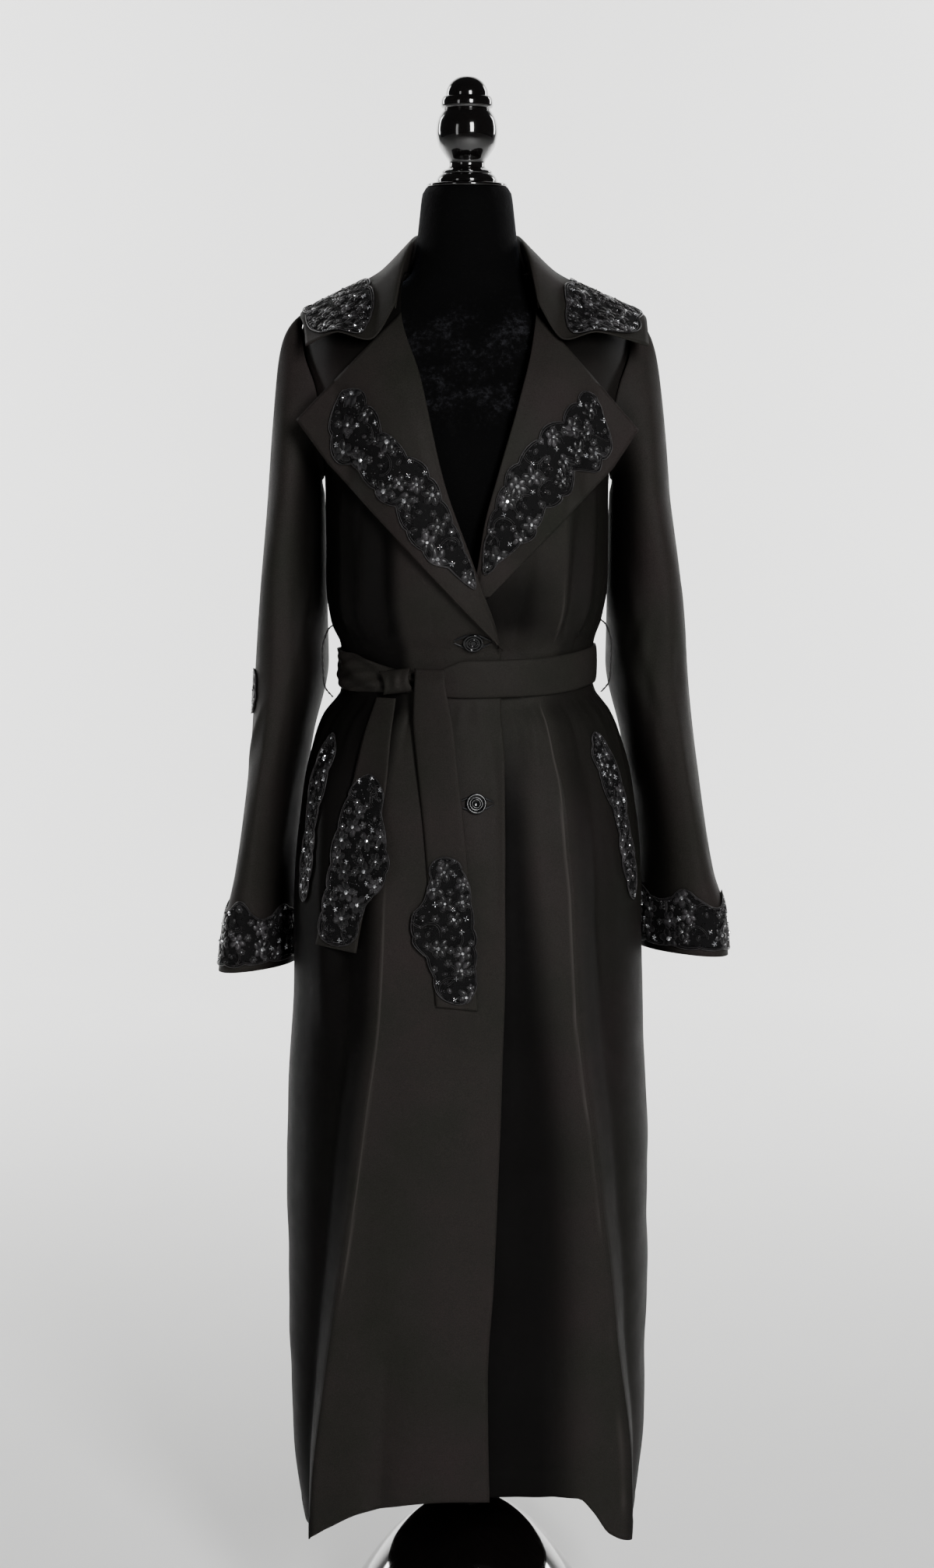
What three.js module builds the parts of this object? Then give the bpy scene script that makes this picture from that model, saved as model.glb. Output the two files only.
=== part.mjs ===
// Long trench coat with a wide notched collar, worn by a limbless dress form on a turned stand.
// Millimetres, +Z up, the wearer faces -Y, and the origin is the middle of the stand's foot on the floor.
// Right and left are the wearer's: the right side is at -X.
import * as THREE from "three";

// Driving dimensions
const COAT_WALL = 1.6;
const FACED_WALL = 2.0;
const BELT_WALL = 2.2;
const BELT_GAP = 2.4;
const LACE_WALL = 1.0;
const SEAM = 0.3;
const WAIST_Z = 1014;
const BELT_WIDTH = 38;
const NECK_TOP_Z = 1498;
const FORM_BASE_Z = 772;
const POLE_RADIUS = 14;
const UNDERARM_Z = 1208;
const SHOULDER_Z = 1371;
const SEAM_ANGLE = 0.06;
const UNDERLAP = 3.8;
const UNDERLAP_FULL = 48;
const UNDERLAP_REACH = 72;
const CROSSING_Z = 1170;
const TUCK = 9;
const HANG_OPEN = { top: 900, fade: 520, depth: 15, reach: 112 };
const BUTTON_RADIUS = 10.5;
const THREAD_RADIUS = 1.1;

// The coat's outer surface, one row for each level: half width, depth before and behind, squareness
const COAT = [
  { z: 90, half: 169, front: 142, back: 142, square: 2.5 },
  { z: 130, half: 176, front: 144, back: 144, square: 2.5 },
  { z: 170, half: 181, front: 146, back: 146, square: 2.5 },
  { z: 230, half: 185, front: 147, back: 147, square: 2.5 },
  { z: 400, half: 187, front: 147, back: 147, square: 2.5 },
  { z: 560, half: 186, front: 143, back: 145, square: 2.4 },
  { z: 684, half: 180, front: 138, back: 141, square: 2.3 },
  { z: 784, half: 179, front: 133, back: 138, square: 2.3 },
  { z: 850, half: 175, front: 127, back: 132, square: 2.2 },
  { z: 900, half: 168, front: 120, back: 125, square: 2.2 },
  { z: 940, half: 157, front: 113, back: 114, square: 2.1 },
  { z: 966, half: 146, front: 107, back: 102, square: 2.1 },
  { z: 991, half: 129, front: 100, back: 88, square: 2.0 },
  { z: 1014, half: 128, front: 99, back: 87, square: 2.0 },
  { z: 1037, half: 129, front: 100, back: 88, square: 2.0 },
  { z: 1060, half: 137, front: 112, back: 102, square: 2.1 },
  { z: 1090, half: 142, front: 126, back: 113, square: 2.2 },
  { z: 1140, half: 143, front: 136, back: 118, square: 2.2 },
  { z: 1200, half: 144, front: 141, back: 120, square: 2.2 },
  { z: 1250, half: 150, front: 140, back: 120, square: 2.2 },
  { z: 1300, half: 161, front: 124, back: 116, square: 2.2 },
  { z: 1333, half: 169, front: 104, back: 107, square: 2.2 },
  { z: 1356, half: 169, front: 84, back: 95, square: 2.2 },
  { z: SHOULDER_Z, half: 158, front: 68, back: 84, square: 2.1 },
  { z: 1383, half: 128, front: 54, back: 74, square: 2.0 },
  { z: 1392, half: 99, front: 47, back: 69, square: 2.0 },
  { z: 1400, half: 80, front: 43, back: 68, square: 2.0 },
  { z: 1412, half: 62.6, front: 40, back: 67, square: 2.0 },
];

// The dress form, from its base to the top of its neck
const FORM = [
  { z: FORM_BASE_Z, half: 148, front: 92, back: 104, square: 2.1 },
  { z: 800, half: 155, front: 97, back: 110, square: 2.1 },
  { z: 850, half: 157, front: 100, back: 113, square: 2.1 },
  { z: 900, half: 148, front: 96, back: 106, square: 2.1 },
  { z: 950, half: 129, front: 87, back: 86, square: 2.0 },
  { z: 1012, half: 110, front: 80, back: 69, square: 2.0 },
  { z: 1060, half: 117, front: 88, back: 80, square: 2.0 },
  { z: 1130, half: 128, front: 106, back: 95, square: 2.1 },
  { z: 1190, half: 133, front: 122, back: 102, square: 2.2 },
  { z: 1235, half: 136, front: 125, back: 105, square: 2.2 },
  { z: 1280, half: 145, front: 108, back: 103, square: 2.2 },
  { z: 1318, half: 153, front: 89, back: 95, square: 2.2 },
  { z: 1345, half: 158, front: 76, back: 86, square: 2.2 },
  { z: 1360, half: 159, front: 67, back: 78, square: 2.1 },
  { z: 1370.6, half: 150, front: 58, back: 71, square: 2.1 },
  { z: 1382.2, half: 123, front: 49, back: 62, square: 2.0 },
  { z: 1390.6, half: 94, front: 44, back: 58, square: 2.0 },
  { z: 1399, half: 73, front: 42, back: 55, square: 2.0 },
  { z: 1413, half: 56, front: 43, back: 52, square: 2.0 },
  { z: 1433, half: 52, front: 46, back: 49, square: 2.0 },
  { z: 1467, half: 48, front: 44, back: 46, square: 2.0 },
  { z: 1491, half: 45, front: 43, back: 44, square: 2.0 },
  { z: NECK_TOP_Z, half: 41, front: 39, back: 40, square: 2.0 },
];

// Folds of the coat's body. Angles are degrees round the body, 0 at the front and 90 on the wearer's left.
// rise is how far a fold stands out, and below zero it is a valley. spread is its half width in degrees.
const FOLDS = [
  { top: 985, low: 90, angleTop: 32, angleMid: 38, angleLow: 66, riseTop: 7, riseLow: 13, spread: 7 },
  { top: 860, low: 90, angleTop: -24, angleMid: -33, angleLow: -62, riseTop: 6, riseLow: 13, spread: 7 },
  { top: 985, low: 640, angleTop: -58, angleMid: -52, angleLow: -50, riseTop: 6, riseLow: 4, spread: 5 },
  { top: 985, low: 700, angleTop: -45, angleMid: -42, angleLow: -44, riseTop: -7, riseLow: -5, spread: 4 },
  { top: 985, low: 760, angleTop: 9, angleMid: 8, angleLow: 7, riseTop: -6, riseLow: -2, spread: 3 },
  { top: 985, low: 600, angleTop: 50, angleMid: 46, angleLow: 55, riseTop: -7, riseLow: -4, spread: 5 },
  { top: 700, low: 90, angleTop: 19, angleMid: 23, angleLow: 28, riseTop: -2, riseLow: -14, spread: 10 },
  { top: 380, low: 90, angleTop: -20, angleMid: -24, angleLow: -30, riseTop: -2, riseLow: -18, spread: 9 },
  { top: 860, low: 90, angleTop: -38, angleMid: -47, angleLow: -76, riseTop: -5, riseLow: -14, spread: 8 },
  { top: 860, low: 90, angleTop: 47, angleMid: 53, angleLow: 80, riseTop: -3, riseLow: -8, spread: 7 },
  { top: 985, low: 90, angleTop: 102, angleMid: 108, angleLow: 112, riseTop: 5, riseLow: 10, spread: 9 },
  { top: 985, low: 90, angleTop: 126, angleMid: 128, angleLow: 132, riseTop: -6, riseLow: -13, spread: 9 },
  { top: 985, low: 90, angleTop: 143, angleMid: 148, angleLow: 150, riseTop: 7, riseLow: 15, spread: 8 },
  { top: 985, low: 90, angleTop: 163, angleMid: 166, angleLow: 169, riseTop: -6, riseLow: -14, spread: 8 },
  { top: 985, low: 90, angleTop: 190, angleMid: 188, angleLow: 190, riseTop: 6, riseLow: 13, spread: 8 },
  { top: 985, low: 90, angleTop: 212, angleMid: 209, angleLow: 208, riseTop: -7, riseLow: -14, spread: 8 },
  { top: 985, low: 90, angleTop: 230, angleMid: 229, angleLow: 227, riseTop: 7, riseLow: 14, spread: 8 },
  { top: 985, low: 90, angleTop: 252, angleMid: 250, angleLow: 247, riseTop: -5, riseLow: -9, spread: 9 },
  { top: 1222, low: 1047, angleTop: 41, angleMid: 40, angleLow: 39, riseTop: 5, riseLow: 8, spread: 4 },
  { top: 1232, low: 1047, angleTop: 60, angleMid: 57, angleLow: 53, riseTop: 4, riseLow: 7, spread: 4 },
  { top: 1200, low: 1047, angleTop: 50, angleMid: 48, angleLow: 46, riseTop: -5, riseLow: -9, spread: 4 },
  { top: 1160, low: 1047, angleTop: 26, angleMid: 24, angleLow: 20, riseTop: -5, riseLow: -6, spread: 5 },
  { top: 1232, low: 1047, angleTop: -56, angleMid: -57, angleLow: -58, riseTop: 4, riseLow: 7, spread: 4 },
  { top: 1210, low: 1047, angleTop: -43, angleMid: -44, angleLow: -45, riseTop: 4, riseLow: 7, spread: 4 },
  { top: 1190, low: 1047, angleTop: -34, angleMid: -35, angleLow: -36, riseTop: -7, riseLow: -9, spread: 5 },
  { top: 1250, low: 1047, angleTop: 118, angleMid: 121, angleLow: 124, riseTop: 4, riseLow: 8, spread: 7 },
  { top: 1270, low: 1047, angleTop: 150, angleMid: 148, angleLow: 144, riseTop: 3, riseLow: 7, spread: 7 },
  { top: 1230, low: 1047, angleTop: 172, angleMid: 171, angleLow: 170, riseTop: -4, riseLow: -7, spread: 7 },
  { top: 1270, low: 1047, angleTop: 208, angleMid: 211, angleLow: 215, riseTop: 3, riseLow: 7, spread: 7 },
  { top: 1250, low: 1047, angleTop: 242, angleMid: 240, angleLow: 237, riseTop: 4, riseLow: 8, spread: 7 },
];
const FOLD_SOFTNESS = 1.6;

// How much higher than WAIST_Z the belt sits round the body
const BELT_RISE = [
  { angle: -180, rise: 3 },
  { angle: -90, rise: 1.5 },
  { angle: -40, rise: -2 },
  { angle: -10, rise: -3 },
  { angle: 30, rise: -2 },
  { angle: 90, rise: 6 },
  { angle: 180, rise: 3 },
];

// The hem's height round the coat, drawn up in front where the fronts cross
const HEM = [
  { angle: -180, z: 122 },
  { angle: -100, z: 116 },
  { angle: -75, z: 118 },
  { angle: -57, z: 119 },
  { angle: -46, z: 138 },
  { angle: -32, z: 160 },
  { angle: 0, z: 180 },
  { angle: 20, z: 178 },
  { angle: 35, z: 175 },
  { angle: 41, z: 158 },
  { angle: 48, z: 131 },
  { angle: 58, z: 118 },
  { angle: 100, z: 116 },
  { angle: 180, z: 122 },
];

// Front edges: the overlap's edge, the roll of the lapels and then the neckline
const RIGHT_EDGE = [
  { z: 100, x: 25 },
  { z: 303, x: 21 },
  { z: 407, x: 27 },
  { z: 524, x: 32 },
  { z: 740, x: 38 },
  { z: 930, x: 38 },
  { z: 985, x: 34 },
  { z: 1030, x: 34 },
  { z: 1114, x: 9.6 },
  { z: 1206, x: -23 },
  { z: 1310, x: -47 },
  { z: 1376, x: -66 },
  { z: 1396, x: -66 },
  { z: 1412, x: -62.6 },
];
const LEFT_EDGE = [
  { z: 100, x: -30 },
  { z: 1000, x: -30 },
  { z: 1040, x: -14 },
  { z: 1114, x: 9.6 },
  { z: 1166, x: 18.4 },
  { z: 1216, x: 32 },
  { z: 1280, x: 50.4 },
  { z: 1344, x: 65.6 },
  { z: 1376, x: 69 },
  { z: 1396, x: 67 },
  { z: 1412, x: 62.6 },
];

// The lapels: the top and bottom of the roll, the tip, the corner below it and the outer edge's end
const LAPELS = {
  right: {
    side: -1, rollTop: 1372, rollLow: 1043, flatZ: 900,
    tip: [-169, 1267], corner: [-138, 1225], end: [36, 1040],
  },
  left: {
    side: 1, rollTop: 1372, rollLow: 1092, flatZ: 1125,
    tip: [170, 1257], corner: [144, 1219], end: [22, 1094],
  },
};
const CORNER_SHARE = 0.17;
const LAPEL_GAP = 3.3;
const ROLL_GAP = 1.2;

// The collar's left half, from the centre of the back to the gorge, and the notch at its front end
const COLLAR = [
  { at: 0, base: [0, 66, 1413.2], fold: [0, 72, 1453], edge: [0, 110, 1372] },
  { at: 0.25, base: [36, 55, 1413.2], fold: [35, 60, 1453], edge: [78, 102, 1372] },
  { at: 0.5, base: [57, 29, 1413.2], fold: [53, 32, 1450], edge: [136, 66, 1373] },
  { at: 0.7, base: [62, 0, 1413.2], fold: [56, -2, 1444], edge: [167, 18, 1377] },
  { at: 0.85, base: [66, -42, 1402], fold: [64, -46, 1424], edge: [180, -28, 1367] },
  { at: 1, base: [70, -78, 1376], fold: [72, -84, 1379], edge: [180, -74, 1340] },
];
const NOTCH = { x: 93, y: -99, z: 1347 };
const ARCH = { x: 128, y: -93, z: 1354 };
// The right leaf's point is drawn in towards the neck
const RIGHT_LEAF_IN = 20;

// Sleeves: outer and inner reach from the middle of the body, depth place, half depth and backward lean
const SLEEVE_RIGHT = [
  { z: 1190, outer: 202, inner: 145.5, mid: 10, depth: 63, lean: 14 },
  { z: 1116, outer: 208, inner: 144, mid: 16, depth: 61, lean: 24 },
  { z: 1020, outer: 215, inner: 142, mid: 22, depth: 59, lean: 22 },
  { z: 940, outer: 222, inner: 160, mid: 30, depth: 58, lean: 16 },
  { z: 870, outer: 231, inner: 172, mid: 42, depth: 57, lean: 24 },
  { z: 800, outer: 241, inner: 177, mid: 50, depth: 57, lean: 26 },
  { z: 745, outer: 252, inner: 177, mid: 54, depth: 58, lean: 26 },
  { z: 698, outer: 258, inner: 177, mid: 56, depth: 60, lean: 26 },
];
const SLEEVE_LEFT = [
  { z: 1190, outer: 206, inner: 145.5, mid: 10, depth: 63, lean: 14 },
  { z: 1116, outer: 216, inner: 144, mid: 16, depth: 61, lean: 24 },
  { z: 1020, outer: 225, inner: 142, mid: 22, depth: 59, lean: 22 },
  { z: 940, outer: 235, inner: 160, mid: 30, depth: 58, lean: 16 },
  { z: 870, outer: 245, inner: 172, mid: 42, depth: 57, lean: 24 },
  { z: 800, outer: 257, inner: 177, mid: 50, depth: 57, lean: 26 },
  { z: 760, outer: 268, inner: 177, mid: 54, depth: 58, lean: 26 },
  { z: 715, outer: 271, inner: 177, mid: 56, depth: 60, lean: 26 },
];
const CAP_SHARE = 0.22;

// The belt's two free ends: the middle line, the width and how far it turns out of the front
const TAIL_FRONT = [
  { z: 1022, x: -37, width: 30, lift: 13, turn: 4 },
  { z: 1008, x: -37, width: 31, lift: 19, turn: 5 },
  { z: 990, x: -36, width: 35, lift: 19, turn: 6 },
  { z: 958, x: -33, width: 41, lift: 10, turn: 8 },
  { z: 845, x: -21, width: 41, lift: 4.6, turn: 5 },
  { z: 760, x: -15, width: 42, lift: 3.6, turn: 2 },
  { z: 686, x: -10, width: 42, lift: 2.8, turn: 0 },
];
const TAIL_BACK = [
  { z: 991, x: -81, width: 20, lift: 5.4, turn: 2 },
  { z: 953, x: -90, width: 28, lift: 5.4, turn: 8 },
  { z: 904, x: -98, width: 35, lift: 5.4, turn: 11 },
  { z: 830, x: -114, width: 41, lift: 5.4, turn: 7 },
  { z: 740, x: -132, width: 42, lift: 5.9, turn: 2 },
];

const BUTTONS = [
  { name: "button_upper", x: 6, z: 1049, out: 0.8 },
  { name: "button_lower", x: 9, z: 889, out: 0.3 },
];

// Colours
const material = (color, roughness, metalness = 0) =>
  new THREE.MeshStandardMaterial({ color, roughness, metalness, side: THREE.DoubleSide });
const cloth = material(0x1d1a19, 0.8);
const velvet = material(0x0c0b0d, 0.95);
const gloss = material(0x080708, 0.12);
const lace = material(0x26242a, 0.5);
const thread = material(0x0a0a0a, 0.7);

const lerp = (a, b, t) => a + (b - a) * t;
const clamp = (x, low, high) => Math.min(high, Math.max(low, x));
const smooth = (t) => {
  const s = clamp(t, 0, 1);
  return s * s * (3 - 2 * s);
};
const radians = THREE.MathUtils.degToRad;
const steps = (count) => Array.from({ length: count + 1 }, (_, i) => i / count);

// A function that reads a table at any value of its first column, on smooth curves that never overshoot.
function reader(rows) {
  const [by, ...names] = Object.keys(rows[0]);
  const slopes = {};
  for (const name of names) {
    const rise = rows.slice(1).map((row, i) => (row[name] - rows[i][name]) / (row[by] - rows[i][by]));
    slopes[name] = rows.map((_, i) => {
      const before = rise[i - 1] ?? rise[i];
      const after = rise[i] ?? rise[i - 1];
      return before * after <= 0 ? 0 : (2 * before * after) / (before + after);
    });
  }
  return (value) => {
    const at = clamp(value, rows[0][by], rows.at(-1)[by]);
    const i = clamp(rows.findIndex((row) => row[by] >= at) - 1, 0, rows.length - 2);
    const span = rows[i + 1][by] - rows[i][by];
    const t = (at - rows[i][by]) / span;
    const read = {};
    for (const name of names) {
      const ease = t * t * (3 - 2 * t);
      const leave = t * (1 - t) * (1 - t) * span * slopes[name][i];
      const arrive = t * t * (t - 1) * span * slopes[name][i + 1];
      read[name] = lerp(rows[i][name], rows[i + 1][name], ease) + leave + arrive;
    }
    return read;
  };
}
const descending = (rows) => reader([...rows].reverse());
const coatAt = reader(COAT);
const formAt = reader(FORM);
const beltRise = reader(BELT_RISE);
const hemAt = reader(HEM);
const edges = { right: reader(RIGHT_EDGE), left: reader(LEFT_EDGE) };
const collarLine = (line) =>
  reader(COLLAR.map(({ at, [line]: [x, y, z] }) => ({ at, x, y, z })));
const collarLines = { base: collarLine("base"), fold: collarLine("fold"), edge: collarLine("edge") };
const sleeves = { right: descending(SLEEVE_RIGHT), left: descending(SLEEVE_LEFT) };

// The angle of a fold at a share of its way down, on a curve through its three angles
function foldPath(fold, t) {
  const start = fold.angleTop * (1 - t) * (1 - 2 * t);
  const middle = fold.angleMid * 4 * t * (1 - t);
  return start + middle + fold.angleLow * t * (2 * t - 1);
}

// How far the folds move the body's surface out at an angle and a height
function foldRise(angle, z) {
  let sum = 0;
  const turned = angle > 270 ? angle - 360 : angle;
  for (const fold of FOLDS) {
    const t = (fold.top - z) / (fold.top - fold.low);
    if (t <= 0 || t > 1) continue;
    const path = foldPath(fold, t);
    const distance = Math.min(...[0, 360, -360].map((turn) => Math.abs(turned + turn - path)));
    const crest = Math.exp(-(Math.hypot(distance, FOLD_SOFTNESS) - FOLD_SOFTNESS) / fold.spread);
    const ends = fold.low < 100 ? smooth(t / 0.12) : smooth(t / 0.35) * smooth((1 - t) / 0.12);
    sum += crest * ends * lerp(fold.riseTop, fold.riseLow, t);
  }
  return sum;
}

// A point on a rounded outline, pushed out by a distance
function ringPoint(row, angle, z, out = 0) {
  const turn = radians(angle);
  const power = 2 / row.square;
  const across = Math.sin(turn);
  const along = Math.cos(turn);
  const x = Math.sign(across) * Math.abs(across) ** power * row.half;
  const y = -Math.sign(along) * Math.abs(along) ** power * (along > 0 ? row.front : row.back);
  return new THREE.Vector3(x + across * out, y - along * out, z);
}

function coatPoint(angle, z, out = 0) {
  const side = angle > 180 ? angle - 360 : angle;
  const nearWaist = Math.exp(-(((z - WAIST_Z) / 110) ** 2));
  const level = z - beltRise(side).rise * nearWaist;
  return ringPoint(coatAt(level), angle, z, foldRise(angle, z) + out);
}

// The angle at which the coat's outline has a given x, on the front
function angleAt(x, z) {
  const side = x < 0 ? -30 : 30;
  const nearWaist = Math.exp(-(((z - WAIST_Z) / 110) ** 2));
  const row = coatAt(z - beltRise(side).rise * nearWaist);
  const share = clamp(Math.abs(x) / row.half, 0, 1) ** (row.square / 2);
  return Math.sign(x) * THREE.MathUtils.radToDeg(Math.asin(share));
}

// How far the left front lies under the right front: most at the hem, where the overlap hangs open,
// and between the belt and the crossing of the lapels
function underlap(x, z) {
  const open = smooth((HANG_OPEN.top - z) / HANG_OPEN.fade);
  const reach = lerp(UNDERLAP_REACH, HANG_OPEN.reach, open);
  const under = smooth((reach - x) / (reach - UNDERLAP_FULL));
  const depth = lerp(UNDERLAP, TUCK, smooth((z - WAIST_Z) / 30)) + (HANG_OPEN.depth - UNDERLAP) * open;
  return under * depth * smooth((CROSSING_Z - z) / 45);
}

function frontPoint(side, angle, z, out = 0) {
  if (side === "right") return coatPoint(angle, z, out);
  const x = coatPoint(angle, z).x;
  return coatPoint(angle, z, out - underlap(x, z));
}

// The armhole: how far its edge is round the body at a height
function armholeAngle(z) {
  const share = clamp((z - UNDERARM_Z) / (SHOULDER_Z - UNDERARM_Z), 0, 1);
  return 90 - 22 * Math.sin(Math.PI * share) ** 0.55;
}

// The way a surface faces at (u, v). A closed surface goes on past its ends.
const SMALL = 1e-3;
function facingAt(surface, u, v, closed = false) {
  const [low, high] = closed ? [u - SMALL, u + SMALL] : [Math.max(u - SMALL, 0), Math.min(u + SMALL, 1)];
  const du = surface(high, v).sub(surface(low, v));
  const dv = surface(u, Math.min(v + SMALL, 1)).sub(surface(u, Math.max(v - SMALL, 0)));
  return du.cross(dv).normalize();
}

// A place on a surface, moved out along its facing
function raised(surface, u, v, out, closed = false) {
  return surface(u, v).addScaledVector(facingAt(surface, u, v, closed), out);
}

// A closed wall from an outer surface. A thickness below zero is for a surface whose u runs the other way,
// and closed joins the last column to the first.
function sheet(surface, across, along, thickness, closed = false) {
  const outer = [];
  const inner = [];
  for (const v of along) {
    for (const u of closed ? across.slice(0, -1) : across) {
      outer.push(surface(u, v));
      inner.push(raised(surface, u, v, -thickness, closed));
    }
  }
  const columns = closed ? across.length - 1 : across.length;
  const offset = outer.length;
  const index = [];
  const quad = (a, b, c, d) => index.push(a, b, c, a, c, d);
  const id = (row, column, isInner) => row * columns + (column % columns) + (isInner ? offset : 0);
  const last = along.length - 1;
  const cells = closed ? columns : columns - 1;
  for (let r = 0; r < last; r++) {
    for (let c = 0; c < cells; c++) {
      quad(id(r, c), id(r, c + 1), id(r + 1, c + 1), id(r + 1, c));
      quad(id(r, c, true), id(r + 1, c, true), id(r + 1, c + 1, true), id(r, c + 1, true));
    }
  }
  for (let c = 0; c < cells; c++) {
    quad(id(0, c), id(0, c, true), id(0, c + 1, true), id(0, c + 1));
    quad(id(last, c), id(last, c + 1), id(last, c + 1, true), id(last, c, true));
  }
  if (!closed) {
    for (let r = 0; r < last; r++) {
      quad(id(r, 0), id(r + 1, 0), id(r + 1, 0, true), id(r, 0, true));
      quad(id(r, cells), id(r, cells, true), id(r + 1, cells, true), id(r + 1, cells));
    }
  }
  return solid([...outer, ...inner], index);
}

// A buffer geometry with its faces turned out
function solid(points, index) {
  let volume = 0;
  const cross = new THREE.Vector3();
  for (let i = 0; i < index.length; i += 3) {
    const [a, b, c] = [points[index[i]], points[index[i + 1]], points[index[i + 2]]];
    volume += a.dot(cross.crossVectors(b, c));
  }
  if (volume < 0) index.reverse();
  const geometry = new THREE.BufferGeometry();
  geometry.setAttribute("position", new THREE.Float32BufferAttribute(points.flatMap((p) => p.toArray()), 3));
  geometry.setIndex(index);
  geometry.computeVertexNormals();
  return geometry;
}

const coat = new THREE.Group();
coat.name = "trench_coat_on_form";
function add(name, geometry, look) {
  const mesh = new THREE.Mesh(geometry, look);
  mesh.name = name;
  coat.add(mesh);
  return mesh;
}

// Heights of the body panels' rows as shares from the hem to the neckline, closest where the form turns
const ROW_Z = [
  205, 310, 420, 530, 640, 750, 830, 895, 945, 972, 991, 1014, 1037, 1050, 1068, 1095, 1135, 1175, 1208,
  1226, 1250, 1278, 1306, 1333, 1354, 1371, 1383, 1392, 1401,
];
const TOP_Z = 1412;
const ROWS_LOW_Z = 128;
const rowShares = [0, ...ROW_Z.map((z) => (z - ROWS_LOW_Z) / (TOP_Z - ROWS_LOW_Z)), 1];
function panelZ(angle, v) {
  const even = lerp(ROWS_LOW_Z, TOP_Z, v);
  const lowered = hemAt(angle > 180 ? angle - 360 : angle).z - ROWS_LOW_Z;
  return even + lowered * Math.max(0, 1 - v / 0.14) ** 1.4;
}

// The angles of a front panel's edges and of the pressed crease that the columns follow
const CREASES = {
  right: { angleTop: -36, angleMid: -33, angleLow: -62 },
  left: { angleTop: 32, angleMid: 38, angleLow: 66 },
};
const CREASE_TOP_Z = 985;
const CREASE_LENGTH = 895;
const CREASE_FADE_Z = 1230;
const CREASE_LIMIT = 0.84;
function frontSpan(side, z) {
  const sign = side === "right" ? -1 : 1;
  const outer = sign * (z > UNDERARM_Z && z < SHOULDER_Z ? armholeAngle(z) : 90 - SEAM_ANGLE);
  const inner = angleAt(edges[side](z).x, z);
  const ridge = foldPath(CREASES[side], clamp((CREASE_TOP_Z - z) / CREASE_LENGTH, 0, 1));
  const limit = lerp(inner, outer, CREASE_LIMIT);
  const kept = sign * Math.min(sign * ridge, sign * limit);
  const above = lerp(kept, lerp(inner, outer, 0.5), smooth((z - CREASE_FADE_Z) / 60));
  return { outer, inner, ridge: above };
}
const RIDGE_SHARE = 0.5;
function frontAngle(side, u, z) {
  const span = frontSpan(side, z);
  return u < RIDGE_SHARE
    ? lerp(span.outer, span.ridge, u / RIDGE_SHARE)
    : lerp(span.ridge, span.inner, (u - RIDGE_SHARE) / (1 - RIDGE_SHARE));
}
function frontSurface(side) {
  return (u, v) => {
    const guess = frontAngle(side, u, panelZ(0, v));
    const z = panelZ(guess, v);
    return frontPoint(side, frontAngle(side, u, z), z);
  };
}
add("front_right", sheet(frontSurface("right"), steps(14), rowShares, COAT_WALL), cloth);
add("front_left", sheet(frontSurface("left"), steps(12), rowShares, -COAT_WALL), cloth);

function backSurface(u, v) {
  const even = lerp(90, 270, u);
  const z = panelZ(even, v);
  const start = z > UNDERARM_Z && z < SHOULDER_Z ? 180 - armholeAngle(z) : 90 + SEAM_ANGLE;
  return coatPoint(lerp(start, 360 - start, u), z);
}
add("back", sheet(backSurface, steps(20), rowShares, COAT_WALL), cloth);

// A lapel's surface: v runs down the roll, u from the roll to the free edge
function lapelSurface(name) {
  const { side, rollTop, rollLow, tip, corner, end, flatZ } = LAPELS[name];
  return (u, v) => {
    const rollZ = lerp(rollTop, rollLow, v);
    const rollX = edges[name](rollZ).x;
    const past = clamp((v - CORNER_SHARE) / (1 - CORNER_SHARE), 0, 1);
    const first = clamp(v / CORNER_SHARE, 0, 1);
    const outX = v < CORNER_SHARE ? lerp(tip[0], corner[0], first) : lerp(corner[0], end[0], past);
    const outZ = v < CORNER_SHARE ? lerp(tip[1], corner[1], first) : lerp(corner[1], end[1], past);
    const x = lerp(rollX, outX, u);
    const z = lerp(rollZ, outZ, u);
    const reach = 0.8 * coatAt(z).half;
    const kept = clamp(Math.abs(x), 0, reach);
    const base = frontPoint(name, side * angleAt(kept, z), z);
    if (Math.sign(x) !== side && x !== 0) base.copy(frontPoint(name, angleAt(x, z), z));
    const beyond = Math.max(0, Math.abs(x) - reach);
    const spring = lerp(3, 13, 1 - v) * Math.sin((Math.PI / 2) * u) ** 2 * smooth((z - flatZ) / 60);
    const nearShoulder = 2.6 * smooth((z - 1325) / 35);
    const lift = FACED_WALL + lerp(ROLL_GAP, LAPEL_GAP, smooth(u / 0.2)) + nearShoulder + spring;
    return new THREE.Vector3(x, base.y + 0.45 * beyond - lift, z);
  };
}
for (const name of ["right", "left"]) {
  const facing = name === "right" ? 1 : -1;
  add(`lapel_${name}`, sheet(lapelSurface(name), steps(6), steps(16), facing * FACED_WALL), cloth);
}

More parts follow.
